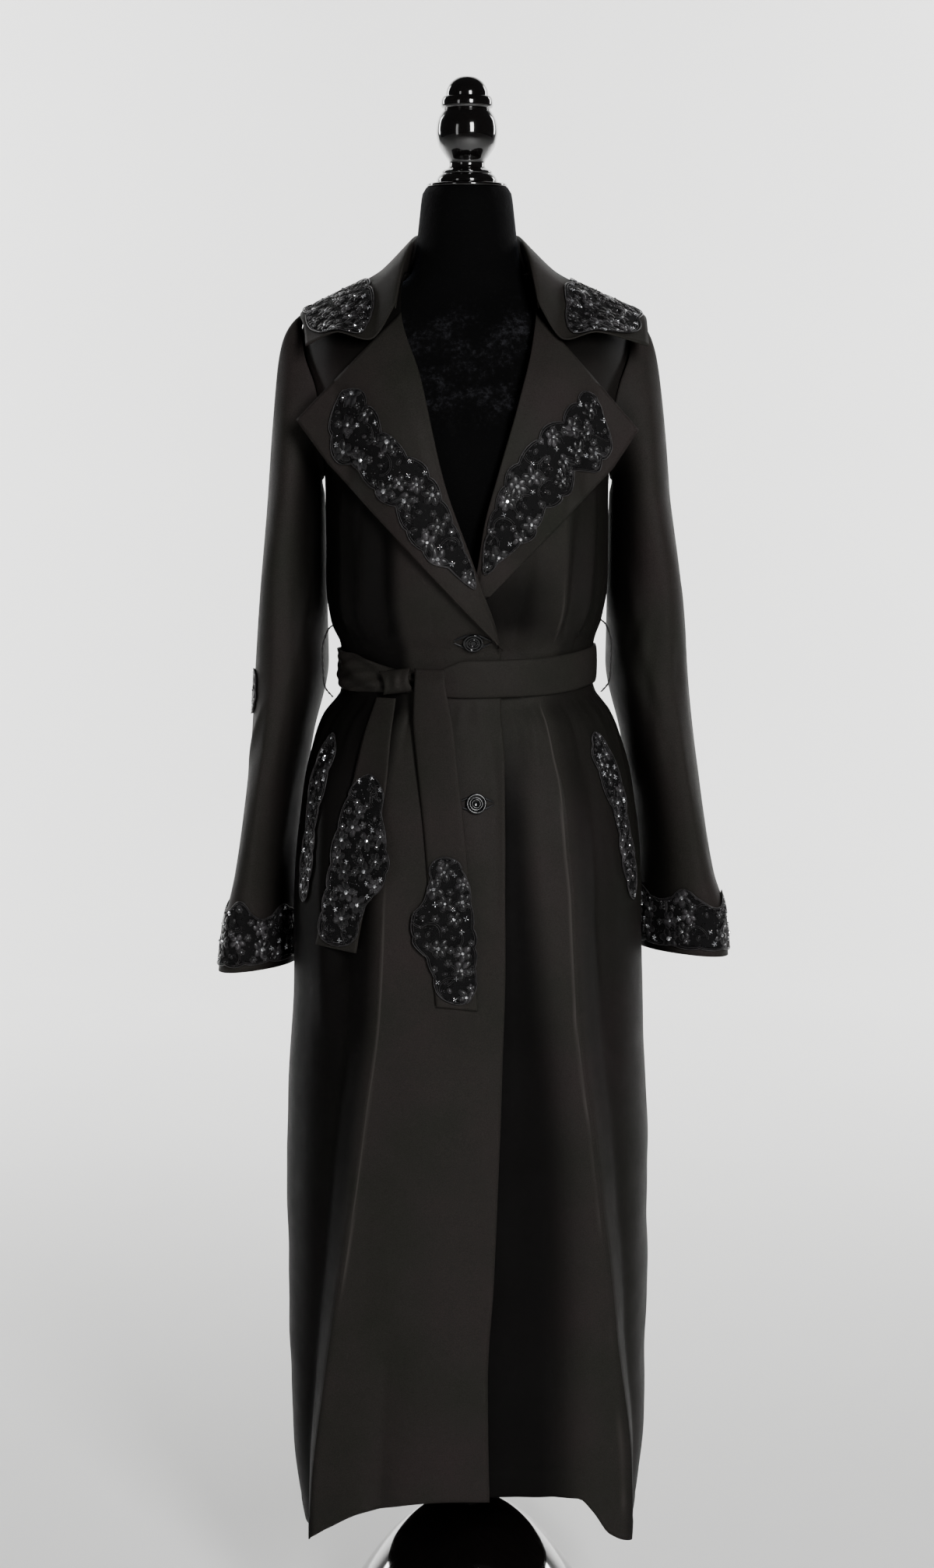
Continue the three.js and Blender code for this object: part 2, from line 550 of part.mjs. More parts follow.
// The collar: u runs round the neck from the right gorge to the left, and v up the stand, over the fold
// and down the fall
function collarSurface(u, v) {
  const around = 2 * u - 1;
  const side = Math.sign(around) || 1;
  const [base, fold, edge] = ["base", "fold", "edge"].map((line) => {
    const { x, y, z } = collarLines[line](Math.abs(around));
    return new THREE.Vector3(x, y, z);
  });
  const out = edge.clone().sub(fold).setZ(0).normalize();
  const front = smooth((Math.abs(around) - 0.85) / 0.15);
  if (side < 0) edge.x -= RIGHT_LEAF_IN * smooth((Math.abs(around) - 0.6) / 0.4);
  const near = fold.clone().lerp(edge, 0.3).add(new THREE.Vector3(0, 0, -9));
  near.lerp(new THREE.Vector3(NOTCH.x, NOTCH.y, NOTCH.z), front);
  const mid = fold.clone().lerp(edge, 0.66).add(new THREE.Vector3(0, 0, -5));
  mid.lerp(new THREE.Vector3(ARCH.x, ARCH.y, ARCH.z), front);
  const crown = fold.clone().addScaledVector(out, -1).add(new THREE.Vector3(0, 0, 1.5));
  const path = new THREE.CatmullRomCurve3([base, crown, near, mid, edge], false, "catmullrom", 0.42);
  const point = path.getPoint(v);
  point.x *= side;
  return point;
}
const COLLAR_ROWS = [0, 0.12, 0.2, 0.25, 0.3, 0.38, 0.5, 0.62, 0.75, 0.88, 1];
add("collar", sheet(collarSurface, steps(26), COLLAR_ROWS, FACED_WALL), cloth);

// A sleeve: u runs round it from the inside over the front, v from the armhole to the cuff
function sleeveSurface(name) {
  const sign = name === "right" ? -1 : 1;
  const rows = name === "right" ? SLEEVE_RIGHT : SLEEVE_LEFT;
  const ring = (turn, z) => {
    const row = sleeves[name](z);
    const middle = (row.outer + row.inner) / 2;
    const half = (row.outer - row.inner) / 2;
    const wave = 1 + 0.035 * Math.sin(3 * turn + z / 60) * smooth((rows[0].z - z) / 120);
    const x = middle - half * wave * Math.cos(turn);
    const y = row.mid - row.depth * wave * Math.sin(turn) + row.lean * Math.cos(turn);
    return new THREE.Vector3(sign * x, y, z);
  };
  return (u, v) => {
    const turn = 2 * Math.PI * u;
    if (v >= CAP_SHARE) {
      const down = (v - CAP_SHARE) / (1 - CAP_SHARE);
      const cuff = 3 * Math.cos(turn - 0.6) * smooth(down * 8 - 7);
      return ring(turn, lerp(rows[0].z, rows.at(-1).z + cuff, down));
    }
    const high = (1 - Math.cos(turn)) / 2;
    const z = lerp(UNDERARM_Z - 1, SHOULDER_Z + 1, high);
    const around = Math.sin(turn) >= 0 ? armholeAngle(z) : 180 - armholeAngle(z);
    const start = coatPoint(around, z, 0.2);
    start.x = sign * (Math.abs(start.x) + SEAM + 0.9 * high);
    start.z += 1.6 * high ** 6;
    const finish = ring(turn, rows[0].z);
    const leave = start.clone().add(new THREE.Vector3(sign * lerp(5, 30, high), 0, lerp(-2, 2, high)));
    const arrive = finish.clone().add(new THREE.Vector3(-sign * lerp(0, 8, high), 0, lerp(5, 118, high)));
    return new THREE.CubicBezierCurve3(start, leave, arrive, finish).getPoint(v / CAP_SHARE);
  };
}
const SLEEVE_ROWS = [0, 0.04, 0.09, 0.14, 0.18, 0.22, 0.3, 0.38, 0.46, 0.54, 0.62, 0.7, 0.78, 0.86, 0.93, 1];
for (const name of ["right", "left"]) {
  const facing = name === "right" ? 1 : -1;
  add(`sleeve_${name}`, sheet(sleeveSurface(name), steps(18), SLEEVE_ROWS, facing * COAT_WALL, true), cloth);
}

// The belt: its middle height and its width round the waist, narrow where the knot draws it in
const KNOT_ANGLE = -16;
function beltSurface(u, v) {
  const angle = lerp(KNOT_ANGLE + 2, KNOT_ANGLE + 358, u);
  const side = angle > 180 ? angle - 360 : angle;
  const drawn = smooth((side + 64) / 44) * smooth((KNOT_ANGLE + 4 - side) / 6);
  const eased = side > KNOT_ANGLE ? smooth(-side / 13) : 0;
  const width = BELT_WIDTH * (1 - 0.5 * drawn - 0.26 * eased);
  const middle = WAIST_Z + beltRise(side).rise - 4 * drawn - 4 * eased;
  const z = middle + (v - 0.5) * width;
  const ripple = 1.6 * drawn * Math.sin(v * 9);
  const row = coatAt(WAIST_Z);
  return ringPoint(row, angle, z, BELT_WALL + BELT_GAP + ripple);
}
add("belt", sheet(beltSurface, steps(44), steps(3), BELT_WALL), cloth);

// A free end of the belt, laid on the front and bridging its folds, cut a little aslant
const TAIL_SLANT = 4;
function tailSurface(rows) {
  const at = descending(rows);
  return (u, v) => {
    const z = lerp(rows[0].z, rows.at(-1).z, v);
    const row = at(z);
    const half = row.width / 2;
    const [left, middle, right] = [-half, 0, half].map((aside) => coatPoint(angleAt(row.x + aside, z), z).y);
    const bulge = Math.max(0, (left + right) / 2 - middle);
    const twist = Math.sin(radians(row.turn)) * (u - 0.5) * row.width;
    const x = row.x + (u - 0.5) * row.width * Math.cos(radians(row.turn));
    const slant = TAIL_SLANT * (u - 0.5) * smooth(v * 20 - 19);
    return new THREE.Vector3(x, lerp(left, right, u) - bulge - row.lift - twist, z - slant);
  };
}
add("belt_tail_front", sheet(tailSurface(TAIL_FRONT), steps(3), steps(18), -BELT_WALL), cloth);
add("belt_tail_back", sheet(tailSurface(TAIL_BACK), steps(3), steps(14), -BELT_WALL), cloth);

// The wrap of the knot, an arched band over the belt where it is drawn in
const KNOT = { x: -68, z: 1008, half: 15, tall: 12, out: 10 };
function knotSurface(u, v) {
  const swell = Math.sin(Math.PI * v) ** 0.6;
  const x = KNOT.x + (2 * u - 1) * (KNOT.half - 3 * Math.sin(Math.PI * v)) + 4 * (v - 0.5);
  const z = KNOT.z - (v - 0.5) * 2 * KNOT.tall + 5 * (u - 0.5);
  const row = coatAt(WAIST_Z);
  const base = ringPoint(row, angleAt(x, WAIST_Z), z, BELT_WALL + BELT_GAP);
  return base.add(new THREE.Vector3(0, -1.5 - KNOT.out * swell * (0.75 + 0.25 * Math.sin(Math.PI * u)), 0));
}
add("belt_knot", sheet(knotSurface, steps(5), steps(8), -BELT_WALL), cloth);

// A cord of round section along a smooth curve, closed at both ends
function cordSolid(points, radius, count, sides) {
  const curve = new THREE.CatmullRomCurve3(points.map((p) => new THREE.Vector3(...p)));
  const frames = curve.computeFrenetFrames(count, false);
  const rings = [];
  for (let i = 0; i <= count; i++) {
    const middle = curve.getPointAt(i / count);
    for (let k = 0; k < sides; k++) {
      const turn = (2 * Math.PI * k) / sides;
      const aside = frames.normals[i].clone().multiplyScalar(Math.cos(turn) * radius);
      rings.push(middle.clone().add(aside).addScaledVector(frames.binormals[i], Math.sin(turn) * radius));
    }
  }
  const index = [];
  const id = (row, side) => row * sides + (side % sides);
  for (let i = 0; i < count; i++) {
    for (let k = 0; k < sides; k++) {
      index.push(id(i, k), id(i, k + 1), id(i + 1, k + 1), id(i, k), id(i + 1, k + 1), id(i + 1, k));
    }
  }
  const start = rings.push(curve.getPointAt(0)) - 1;
  const finish = rings.push(curve.getPointAt(1)) - 1;
  for (let k = 0; k < sides; k++) {
    index.push(start, id(0, k + 1), id(0, k));
    index.push(finish, id(count, k), id(count, k + 1));
  }
  return solid(rings, index);
}

// Thread loops that hold the belt at the side seams
for (const [name, sign, rise] of [["right", -1, 2.5], ["left", 1, 8]]) {
  const x = (from) => sign * from;
  const path = [
    [x(136.2), -6, 1056 + rise], [x(142), -8, 1050 + rise], [x(147), -9, 1034 + rise],
    [x(147), -9, 1013 + rise], [x(145), -9, 993 + rise], [x(137.2), -7, 982 + rise],
  ];
  add(`belt_loop_${name}`, cordSolid(path, THREAD_RADIUS, 16, 6), thread);
}

// A raised lace motif on a panel. rows give the lace's low and high u at each v of the panel,
// its edges are scalloped by wave, and it may reach past the panel's sides by a share of them.
const LACE_GAP = 1.2;
const CUFF_LACE_GAP = 1.5;
const POCKET_LACE_GAP = 0.9;
const TAIL_LACE_GAP = 0.9;
const COLLAR_LACE_GAP = 2.3;
function laceOn(surface, rows, facing, wave, columns, count, gap = LACE_GAP, reach = 0) {
  const spans = reader(rows);
  const from = rows[0].at;
  const to = rows.at(-1).at;
  const place = (u, v) => {
    const at = lerp(from, to, v);
    const span = spans(at);
    const scallop = wave * Math.abs(Math.sin(v * Math.PI * 4.5));
    const a = lerp(span.low - scallop * 0.6, span.high + scallop, u);
    const out = facingAt(surface, clamp(a, 0, 1), at, false).multiplyScalar(facing * (gap + LACE_WALL));
    return surface(clamp(a, -reach, 1 + reach), at).add(out);
  };
  return sheet(place, steps(columns), steps(count), facing * LACE_WALL);
}

const LAPEL_LACE = {
  right: [
    { at: 0.05, low: 0.5, high: 0.72 },
    { at: 0.17, low: 0.48, high: 0.88 },
    { at: 0.35, low: 0.33, high: 0.78 },
    { at: 0.5, low: 0.12, high: 0.78 },
    { at: 0.65, low: 0.1, high: 0.66 },
    { at: 0.8, low: 0.08, high: 0.36 },
  ],
  left: [
    { at: 0.05, low: 0.5, high: 0.72 },
    { at: 0.17, low: 0.48, high: 0.88 },
    { at: 0.4, low: 0.25, high: 0.76 },
    { at: 0.6, low: 0.12, high: 0.76 },
    { at: 0.8, low: 0.1, high: 0.6 },
    { at: 0.9, low: 0.12, high: 0.4 },
  ],
};
for (const name of ["right", "left"]) {
  const facing = name === "right" ? 1 : -1;
  add(`lace_lapel_${name}`, laceOn(lapelSurface(name), LAPEL_LACE[name], facing, 0.07, 4, 12), lace);
}

// Lace at the collar's points: at runs from the point round the neck, low and high from the fold to the edge
const COLLAR_LACE = [
  { at: 0.015, low: 0.62, high: 0.9 },
  { at: 0.06, low: 0.58, high: 0.92 },
  { at: 0.13, low: 0.7, high: 0.93 },
  { at: 0.2, low: 0.8, high: 0.94 },
  { at: 0.27, low: 0.86, high: 0.95 },
];
for (const name of ["right", "left"]) {
  const facing = name === "right" ? 1 : -1;
  const half = (u, v) => collarSurface(name === "right" ? v : 1 - v, u);
  add(`lace_collar_${name}`, laceOn(half, COLLAR_LACE, -facing, 0.03, 4, 8, COLLAR_LACE_GAP), lace);
}

// Lace round the cuffs, with an uneven upper edge
for (const name of ["right", "left"]) {
  const facing = name === "right" ? 1 : -1;
  const sleeve = sleeveSurface(name);
  const band = (u, v) => {
    const top = 0.905 + 0.012 * Math.sin(5 * 2 * Math.PI * u);
    return raised(sleeve, u, lerp(top, 0.985, v), facing * (CUFF_LACE_GAP + LACE_WALL), true);
  };
  add(`lace_cuff_${name}`, sheet(band, steps(18), steps(2), facing * LACE_WALL, true), lace);
}

// Lace bands along the slanted pockets, their width in degrees round the body
const POCKET_LACE_WIDTH = 9;
const POCKETS = {
  right: { top: 952, low: 782, angleTop: -60, angleLow: -66 },
  left: { top: 954, low: 784, angleTop: 57, angleLow: 67 },
};
for (const name of ["right", "left"]) {
  const pocket = POCKETS[name];
  const band = (u, v) => {
    const z = lerp(pocket.top, pocket.low, v);
    const bump = 1 + 0.35 * Math.abs(Math.sin(v * Math.PI * 3.5));
    const angle = lerp(pocket.angleTop, pocket.angleLow, v) + (u - 0.5) * POCKET_LACE_WIDTH * bump;
    return frontPoint(name, angle, z, POCKET_LACE_GAP + LACE_WALL);
  };
  add(`lace_pocket_${name}`, sheet(band, steps(3), steps(12), -LACE_WALL), lace);
}

// Lace at the ends of the belt
const TAIL_LACE_REACH = 0.4;
const TAIL_LACE_FRONT = [
  { at: 0.56, low: 0.2, high: 0.8 },
  { at: 0.64, low: 0.05, high: 0.92 },
  { at: 0.72, low: -0.3, high: 0.96 },
  { at: 0.8, low: -0.34, high: 0.98 },
  { at: 0.87, low: 0, high: 0.94 },
  { at: 0.985, low: 0.1, high: 0.9 },
];
const TAIL_LACE_BACK = [
  { at: 0.3, low: 0.2, high: 0.8 },
  { at: 0.4, low: 0.04, high: 0.95 },
  { at: 0.55, low: 0.02, high: 1.16 },
  { at: 0.66, low: 0.04, high: 1.32 },
  { at: 0.78, low: 0.06, high: 1.08 },
  { at: 0.985, low: 0.06, high: 0.9 },
];
for (const [name, rows, spans] of [["front", TAIL_FRONT, TAIL_LACE_FRONT], ["back", TAIL_BACK, TAIL_LACE_BACK]]) {
  const band = laceOn(tailSurface(rows), spans, -1, 0.04, 3, 8, TAIL_LACE_GAP, TAIL_LACE_REACH);
  add(`lace_tail_${name}`, band, lace);
}

// A small lace motif outside the right elbow
const ELBOW_LACE = [
  { at: 0.5, low: 0.46, high: 0.52 },
  { at: 0.54, low: 0.44, high: 0.55 },
  { at: 0.575, low: 0.47, high: 0.53 },
];
add("lace_elbow_right", laceOn(sleeveSurface("right"), ELBOW_LACE, 1, 0.01, 3, 4), lace);

// Buttons: a flat disc with a raised rim, facing out of the front
const BUTTON_PROFILE = [
  [0, 0], [9.6, 0], [BUTTON_RADIUS, 1], [BUTTON_RADIUS, 3.4], [9.2, 4.2], [7.4, 3.2], [0, 3.0],
];
for (const button of BUTTONS) {
  const geometry = turned(BUTTON_PROFILE, 18);
  const angle = angleAt(button.x, button.z);
  const across = coatPoint(angle + 3, button.z).sub(coatPoint(angle - 3, button.z));
  const up = coatPoint(angle, button.z + 8).sub(coatPoint(angle, button.z - 8));
  const facing = across.cross(up).normalize();
  const turn = new THREE.Quaternion().setFromUnitVectors(new THREE.Vector3(0, 0, 1), facing);
  geometry.applyQuaternion(turn);
  const place = coatPoint(angle, button.z).addScaledVector(facing, button.out);
  geometry.translate(place.x, place.y, place.z);
  add(button.name, geometry, gloss);
}

// The dress form, one closed body with a flat base and a flat neck top
function formBody() {
  const columns = 26;
  const levels = [
    FORM_BASE_Z, 788, 830, 890, 950, 1012, 1070, 1130, 1190, 1235, 1280, 1318, 1345, 1360, 1370.6, 1382.2,
    1390.6, 1399, 1413, 1450, 1491, NECK_TOP_Z,
  ];
  const points = levels.flatMap((z) =>
    Array.from({ length: columns }, (_, c) => ringPoint(formAt(z), (360 * c) / columns, z)),
  );
  const index = [];
  const id = (row, column) => row * columns + (column % columns);
  for (let r = 0; r < levels.length - 1; r++) {
    for (let c = 0; c < columns; c++) {
      index.push(id(r, c), id(r, c + 1), id(r + 1, c + 1), id(r, c), id(r + 1, c + 1), id(r + 1, c));
    }
  }
  const lowest = points.push(new THREE.Vector3(0, 0, levels[0])) - 1;
  const highest = points.push(new THREE.Vector3(0, 0, levels.at(-1))) - 1;
  for (let c = 0; c < columns; c++) {
    index.push(lowest, id(0, c + 1), id(0, c));
    index.push(highest, id(levels.length - 1, c), id(levels.length - 1, c + 1));
  }
  return solid(points, index);
}
add("form_body", formBody(), velvet);

// Turned pieces: a profile of radius and height, spun about the form's axis
function turned(profile, segments) {
  const geometry = new THREE.LatheGeometry(profile.map(([r, z]) => new THREE.Vector2(r, z)), segments);
  geometry.rotateX(Math.PI / 2);
  const flat = geometry.toNonIndexed();
  const position = flat.getAttribute("position");
  const read = (_, i) => new THREE.Vector3().fromBufferAttribute(position, i);
  const points = Array.from({ length: position.count }, read);
  return solid(points, points.map((_, i) => i));
}

// The neck's plate and turned finial: radius, and height above the plate's underside
const FINIAL = [
  [0, 0], [40, 0], [40.5, 2], [39, 3.5], [30, 4], [30.5, 8], [27, 13], [21, 17], [18, 22], [19.5, 27],
  [26, 36], [30.6, 46], [31.4, 56], [29.5, 66], [25, 74], [23.5, 77], [26, 79], [26.6, 84], [25, 88], [21.5, 90.5],
  [20.5, 97], [15, 104.5], [7, 109], [0, 110],
];
add("neck_cap", turned(FINIAL.map(([r, z]) => [r, NECK_TOP_Z + SEAM + z]), 22), gloss);

// The stand's foot is a bell whose radius grows with the square root of the drop from its top
const FOOT_RADIUS = 152;
const BELL_LOW_Z = 24;
const BELL_TOP_Z = 139;
const BELL_FLARE = 146;
const bell = steps(9).map((t) => {
  const drop = (BELL_TOP_Z - BELL_LOW_Z) * lerp(1, 0.2, t) ** 2;
  return [Math.sqrt(BELL_FLARE * drop), BELL_TOP_Z - drop];
});
const foot = [[0, 0], [FOOT_RADIUS, 0], [FOOT_RADIUS + 2, 6], [FOOT_RADIUS - 3, 14], [138, 18]];
const DOME_TOP_Z = bell.at(-1)[1] + 2;
add("stand_base", turned([...foot, ...bell, [0, DOME_TOP_Z]], 30), gloss);
const POLE = [
  [0, DOME_TOP_Z + SEAM], [24, DOME_TOP_Z + SEAM], [24, DOME_TOP_Z + 12], [POLE_RADIUS, DOME_TOP_Z + 20],
  [POLE_RADIUS, FORM_BASE_Z - 22], [30, FORM_BASE_Z - 12], [30, FORM_BASE_Z - SEAM], [0, FORM_BASE_Z - SEAM],
];
add("stand_pole", turned(POLE, 20), gloss);

export default coat;
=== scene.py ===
# A long trench coat on its dress form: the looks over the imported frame.
# Tables and surfaces are in millimetres, and meshes are made in metres.
import math

import bmesh
import bpy
import numpy as np
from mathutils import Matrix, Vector


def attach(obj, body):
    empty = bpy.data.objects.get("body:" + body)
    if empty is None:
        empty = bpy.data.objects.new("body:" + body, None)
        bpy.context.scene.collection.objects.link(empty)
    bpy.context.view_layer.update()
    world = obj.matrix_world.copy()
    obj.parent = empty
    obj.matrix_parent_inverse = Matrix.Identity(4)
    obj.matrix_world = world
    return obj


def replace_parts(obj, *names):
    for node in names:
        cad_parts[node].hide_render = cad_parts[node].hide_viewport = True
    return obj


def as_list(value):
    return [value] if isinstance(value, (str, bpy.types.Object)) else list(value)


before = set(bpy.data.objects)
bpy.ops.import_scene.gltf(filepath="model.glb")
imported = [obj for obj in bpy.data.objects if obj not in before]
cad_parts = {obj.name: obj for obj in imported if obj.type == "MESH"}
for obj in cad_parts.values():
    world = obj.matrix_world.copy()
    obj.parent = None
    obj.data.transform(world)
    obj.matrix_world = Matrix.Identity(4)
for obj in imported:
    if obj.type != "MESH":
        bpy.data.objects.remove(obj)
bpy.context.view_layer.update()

METRE = 0.001

# Driving dimensions
CLOTH = 1.4
FACED = 1.6
BELT_WALL = 2.2
BELT_GAP = 2.4
FACED_WALL = 2.0
WAIST_Z = 1014
BELT_WIDTH = 38
UNDERARM_Z = 1208
SHOULDER_Z = 1371
NECK_TOP_Z = 1498
FORM_BASE_Z = 772
ROWS_LOW_Z = 128
TOP_Z = 1412
CAP_SHARE = 0.22
CORNER_SHARE = 0.17
FOLD_SOFTNESS = 1.6

# Height, half width, depth before and behind, squareness
COAT = [
    (90, 169, 142, 142, 2.5), (130, 176, 144, 144, 2.5), (170, 181, 146, 146, 2.5), (230, 185, 147, 147, 2.5),
    (400, 187, 147, 147, 2.5), (560, 186, 143, 145, 2.4),
    (684, 180, 138, 141, 2.3), (784, 179, 133, 138, 2.3),
    (850, 175, 127, 132, 2.2), (900, 168, 120, 125, 2.2),
    (940, 157, 113, 114, 2.1), (966, 146, 107, 102, 2.1),
    (991, 129, 100, 88, 2.0), (1014, 128, 99, 87, 2.0), (1037, 129, 100, 88, 2.0), (1060, 137, 112, 102, 2.1),
    (1090, 142, 126, 113, 2.2), (1140, 143, 136, 118, 2.2),
    (1200, 144, 141, 120, 2.2), (1250, 150, 140, 120, 2.2),
    (1300, 161, 124, 116, 2.2), (1333, 169, 104, 107, 2.2),
    (1356, 169, 84, 95, 2.2), (1371, 158, 68, 84, 2.1),
    (1383, 128, 54, 74, 2.0), (1392, 99, 47, 69, 2.0), (1400, 80, 43, 68, 2.0), (1412, 62.6, 40, 67, 2.0),
]
FORM = [
    (772, 148, 92, 104, 2.1), (800, 155, 97, 110, 2.1), (850, 157, 100, 113, 2.1), (900, 148, 96, 106, 2.1),
    (950, 129, 87, 86, 2.0), (1012, 110, 80, 69, 2.0), (1060, 117, 88, 80, 2.0), (1130, 128, 106, 95, 2.1),
    (1190, 133, 122, 102, 2.2), (1235, 136, 125, 105, 2.2),
    (1280, 145, 108, 103, 2.2), (1318, 153, 89, 95, 2.2),
    (1345, 158, 76, 86, 2.2), (1360, 159, 67, 78, 2.1),
    (1370.6, 150, 58, 71, 2.1), (1382.2, 123, 49, 62, 2.0),
    (1390.6, 94, 44, 58, 2.0), (1399, 73, 42, 55, 2.0), (1413, 56, 43, 52, 2.0), (1433, 52, 46, 49, 2.0),
    (1467, 48, 44, 46, 2.0), (1491, 45, 43, 44, 2.0), (1498, 41, 39, 40, 2.0),
]

# Folds of the body: top, low, angle at the top, middle and low end, rise at the top and low end, spread
FOLDS = [
    (985, 90, 32, 38, 66, 7, 13, 7), (860, 90, -24, -33, -62, 6, 13, 7), (985, 640, -58, -52, -50, 6, 4, 5),
    (985, 700, -45, -42, -44, -7, -5, 4), (985, 760, 9, 8, 7, -6, -2, 3), (985, 600, 50, 46, 55, -7, -4, 5),
    (700, 90, 19, 23, 28, -2, -14, 10), (380, 90, -20, -24, -30, -2, -18, 9),
    (860, 90, -38, -47, -76, -5, -14, 8),
    (860, 90, 47, 53, 80, -3, -8, 7),
    (985, 90, 102, 108, 112, 5, 10, 9), (985, 90, 126, 128, 132, -6, -13, 9),
    (985, 90, 143, 148, 150, 7, 15, 8),
    (985, 90, 163, 166, 169, -6, -14, 8), (985, 90, 190, 188, 190, 6, 13, 8),
    (985, 90, 212, 209, 208, -7, -14, 8),
    (985, 90, 230, 229, 227, 7, 14, 8), (985, 90, 252, 250, 247, -5, -9, 9),
    (1222, 1047, 41, 40, 39, 5, 8, 4),
    (1232, 1047, 60, 57, 53, 4, 7, 4), (1200, 1047, 50, 48, 46, -5, -9, 4),
    (1160, 1047, 26, 24, 20, -5, -6, 5),
    (1232, 1047, -56, -57, -58, 4, 7, 4), (1210, 1047, -43, -44, -45, 4, 7, 4),
    (1190, 1047, -34, -35, -36, -7, -9, 5),
    (1250, 1047, 118, 121, 124, 4, 8, 7), (1270, 1047, 150, 148, 144, 3, 7, 7),
    (1230, 1047, 172, 171, 170, -4, -7, 7),
    (1270, 1047, 208, 211, 215, 3, 7, 7), (1250, 1047, 242, 240, 237, 4, 8, 7),
]
BELT_RISE = [(-180, 3), (-90, 1.5), (-40, -2), (-10, -3), (30, -2), (90, 6), (180, 3)]
HEM = [
    (-180, 122), (-100, 116), (-75, 118), (-57, 119), (-46, 138), (-32, 160), (0, 180), (20, 178), (35, 175),
    (41, 158), (48, 131), (58, 118), (100, 116), (180, 122),
]
RIGHT_EDGE = [
    (100, 25), (303, 21), (407, 27), (524, 32), (740, 38), (930, 38), (985, 34), (1030, 34), (1114, 9.6),
    (1206, -23), (1310, -47), (1376, -66), (1396, -66), (1412, -62.6),
]
LEFT_EDGE = [
    (100, -30), (1000, -30), (1040, -14), (1114, 9.6), (1166, 18.4), (1216, 32), (1280, 50.4), (1344, 65.6),
    (1376, 69), (1396, 67), (1412, 62.6),
]

# The roll's ends, the tip, the corner below it, the outer edge's end, and where the lapel lies flat
LAPELS = {
    "right": (-1, 1372, 1043, (-169, 1267), (-138, 1225), (36, 1040), 900),
    "left": (1, 1372, 1092, (170, 1257), (144, 1219), (22, 1094), 1125),
}
# The collar's left half: place round the neck, then its base, fold and edge
COLLAR = [
    (0, 0, 66, 1413.2, 0, 72, 1453, 0, 110, 1372), (0.25, 36, 55, 1413.2, 35, 60, 1453, 78, 102, 1372),
    (0.5, 57, 29, 1413.2, 53, 32, 1450, 136, 66, 1373), (0.7, 62, 0, 1413.2, 56, -2, 1444, 167, 18, 1377),
    (0.85, 66, -42, 1402, 64, -46, 1424, 180, -28, 1367), (1, 70, -78, 1376, 72, -84, 1379, 180, -74, 1340),
]
NOTCH = (93, -99, 1347)
ARCH = (128, -93, 1354)
RIGHT_LEAF_IN = 20

# Sleeves: height, outer and inner reach, depth place, half depth, lean
SLEEVES = {
    "right": [
        (1190, 202, 145.5, 10, 63, 14), (1116, 208, 144, 16, 61, 24), (1020, 215, 142, 22, 59, 22),
        (940, 222, 160, 30, 58, 16), (870, 231, 172, 42, 57, 24), (800, 241, 177, 50, 57, 26),
        (745, 252, 177, 54, 58, 26), (698, 258, 177, 56, 60, 26),
    ],
    "left": [
        (1190, 206, 145.5, 10, 63, 14), (1116, 216, 144, 16, 61, 24), (1020, 225, 142, 22, 59, 22),
        (940, 235, 160, 30, 58, 16), (870, 245, 172, 42, 57, 24), (800, 257, 177, 50, 57, 26),
        (760, 268, 177, 54, 58, 26), (715, 271, 177, 56, 60, 26),
    ],
}
# The belt's ends: height, middle, width, lift, turn
TAIL_FRONT = [
    (1022, -37, 30, 13, 4), (1008, -37, 31, 19, 5), (990, -36, 35, 19, 6), (958, -33, 41, 10, 8),
    (845, -21, 41, 4.6, 5), (760, -15, 42, 3.6, 2), (686, -10, 42, 2.8, 0),
]
TAIL_BACK = [
    (991, -81, 20, 5.4, 2), (953, -90, 28, 5.4, 8), (904, -98, 35, 5.4, 11), (830, -114, 41, 5.4, 7),
    (740, -132, 42, 5.9, 2),
]
BUTTONS = {"button_upper": (6, 1049, 0.8), "button_lower": (9, 889, 0.3)}
KNOT_ANGLE = -16
KNOT = {"x": -68, "z": 1008, "half": 15, "tall": 12, "out": 10}


def lerp(a, b, t):
    return a + (b - a) * t


def smooth(t):
    s = np.clip(t, 0, 1)
    return s * s * (3 - 2 * s)


def vec(x, y, z):
    return np.stack(np.broadcast_arrays(x, y, z), -1).astype(float)


def unit(v):
    return v / np.maximum(np.linalg.norm(v, axis=-1, keepdims=True), 1e-9)


def table(rows):
    """A function that reads the rows at any value of their first column, on curves that never overshoot."""
    rows = np.array(sorted(rows), float)
    place, data = rows[:, 0], rows[:, 1:]
    rise = np.diff(data, axis=0) / np.diff(place)[:, None]
    before, after = np.vstack([rise[:1], rise]), np.vstack([rise, rise[-1:]])
    product = before * after
    slope = np.where(product > 0, 2 * product / np.where(before + after == 0, 1, before + after), 0)

    def read(value):
        at = np.clip(np.asarray(value, float), place[0], place[-1])
        i = np.clip(np.searchsorted(place, at) - 1, 0, len(place) - 2)
        span = (place[i + 1] - place[i])[..., None]
        t = (at - place[i])[..., None] / span
        found = lerp(data[i], data[i + 1], t * t * (3 - 2 * t))
        found = found + t * (1 - t) ** 2 * span * slope[i] + t * t * (t - 1) * span * slope[i + 1]
        return np.moveaxis(found, -1, 0)

    return read


coat_at, form_at, hem_at, belt_rise = table(COAT), table(FORM), table(HEM), table(BELT_RISE)
edges = {"right": table(RIGHT_EDGE), "left": table(LEFT_EDGE)}
collar_at = table(COLLAR)
sleeve_at = {name: table(rows) for name, rows in SLEEVES.items()}


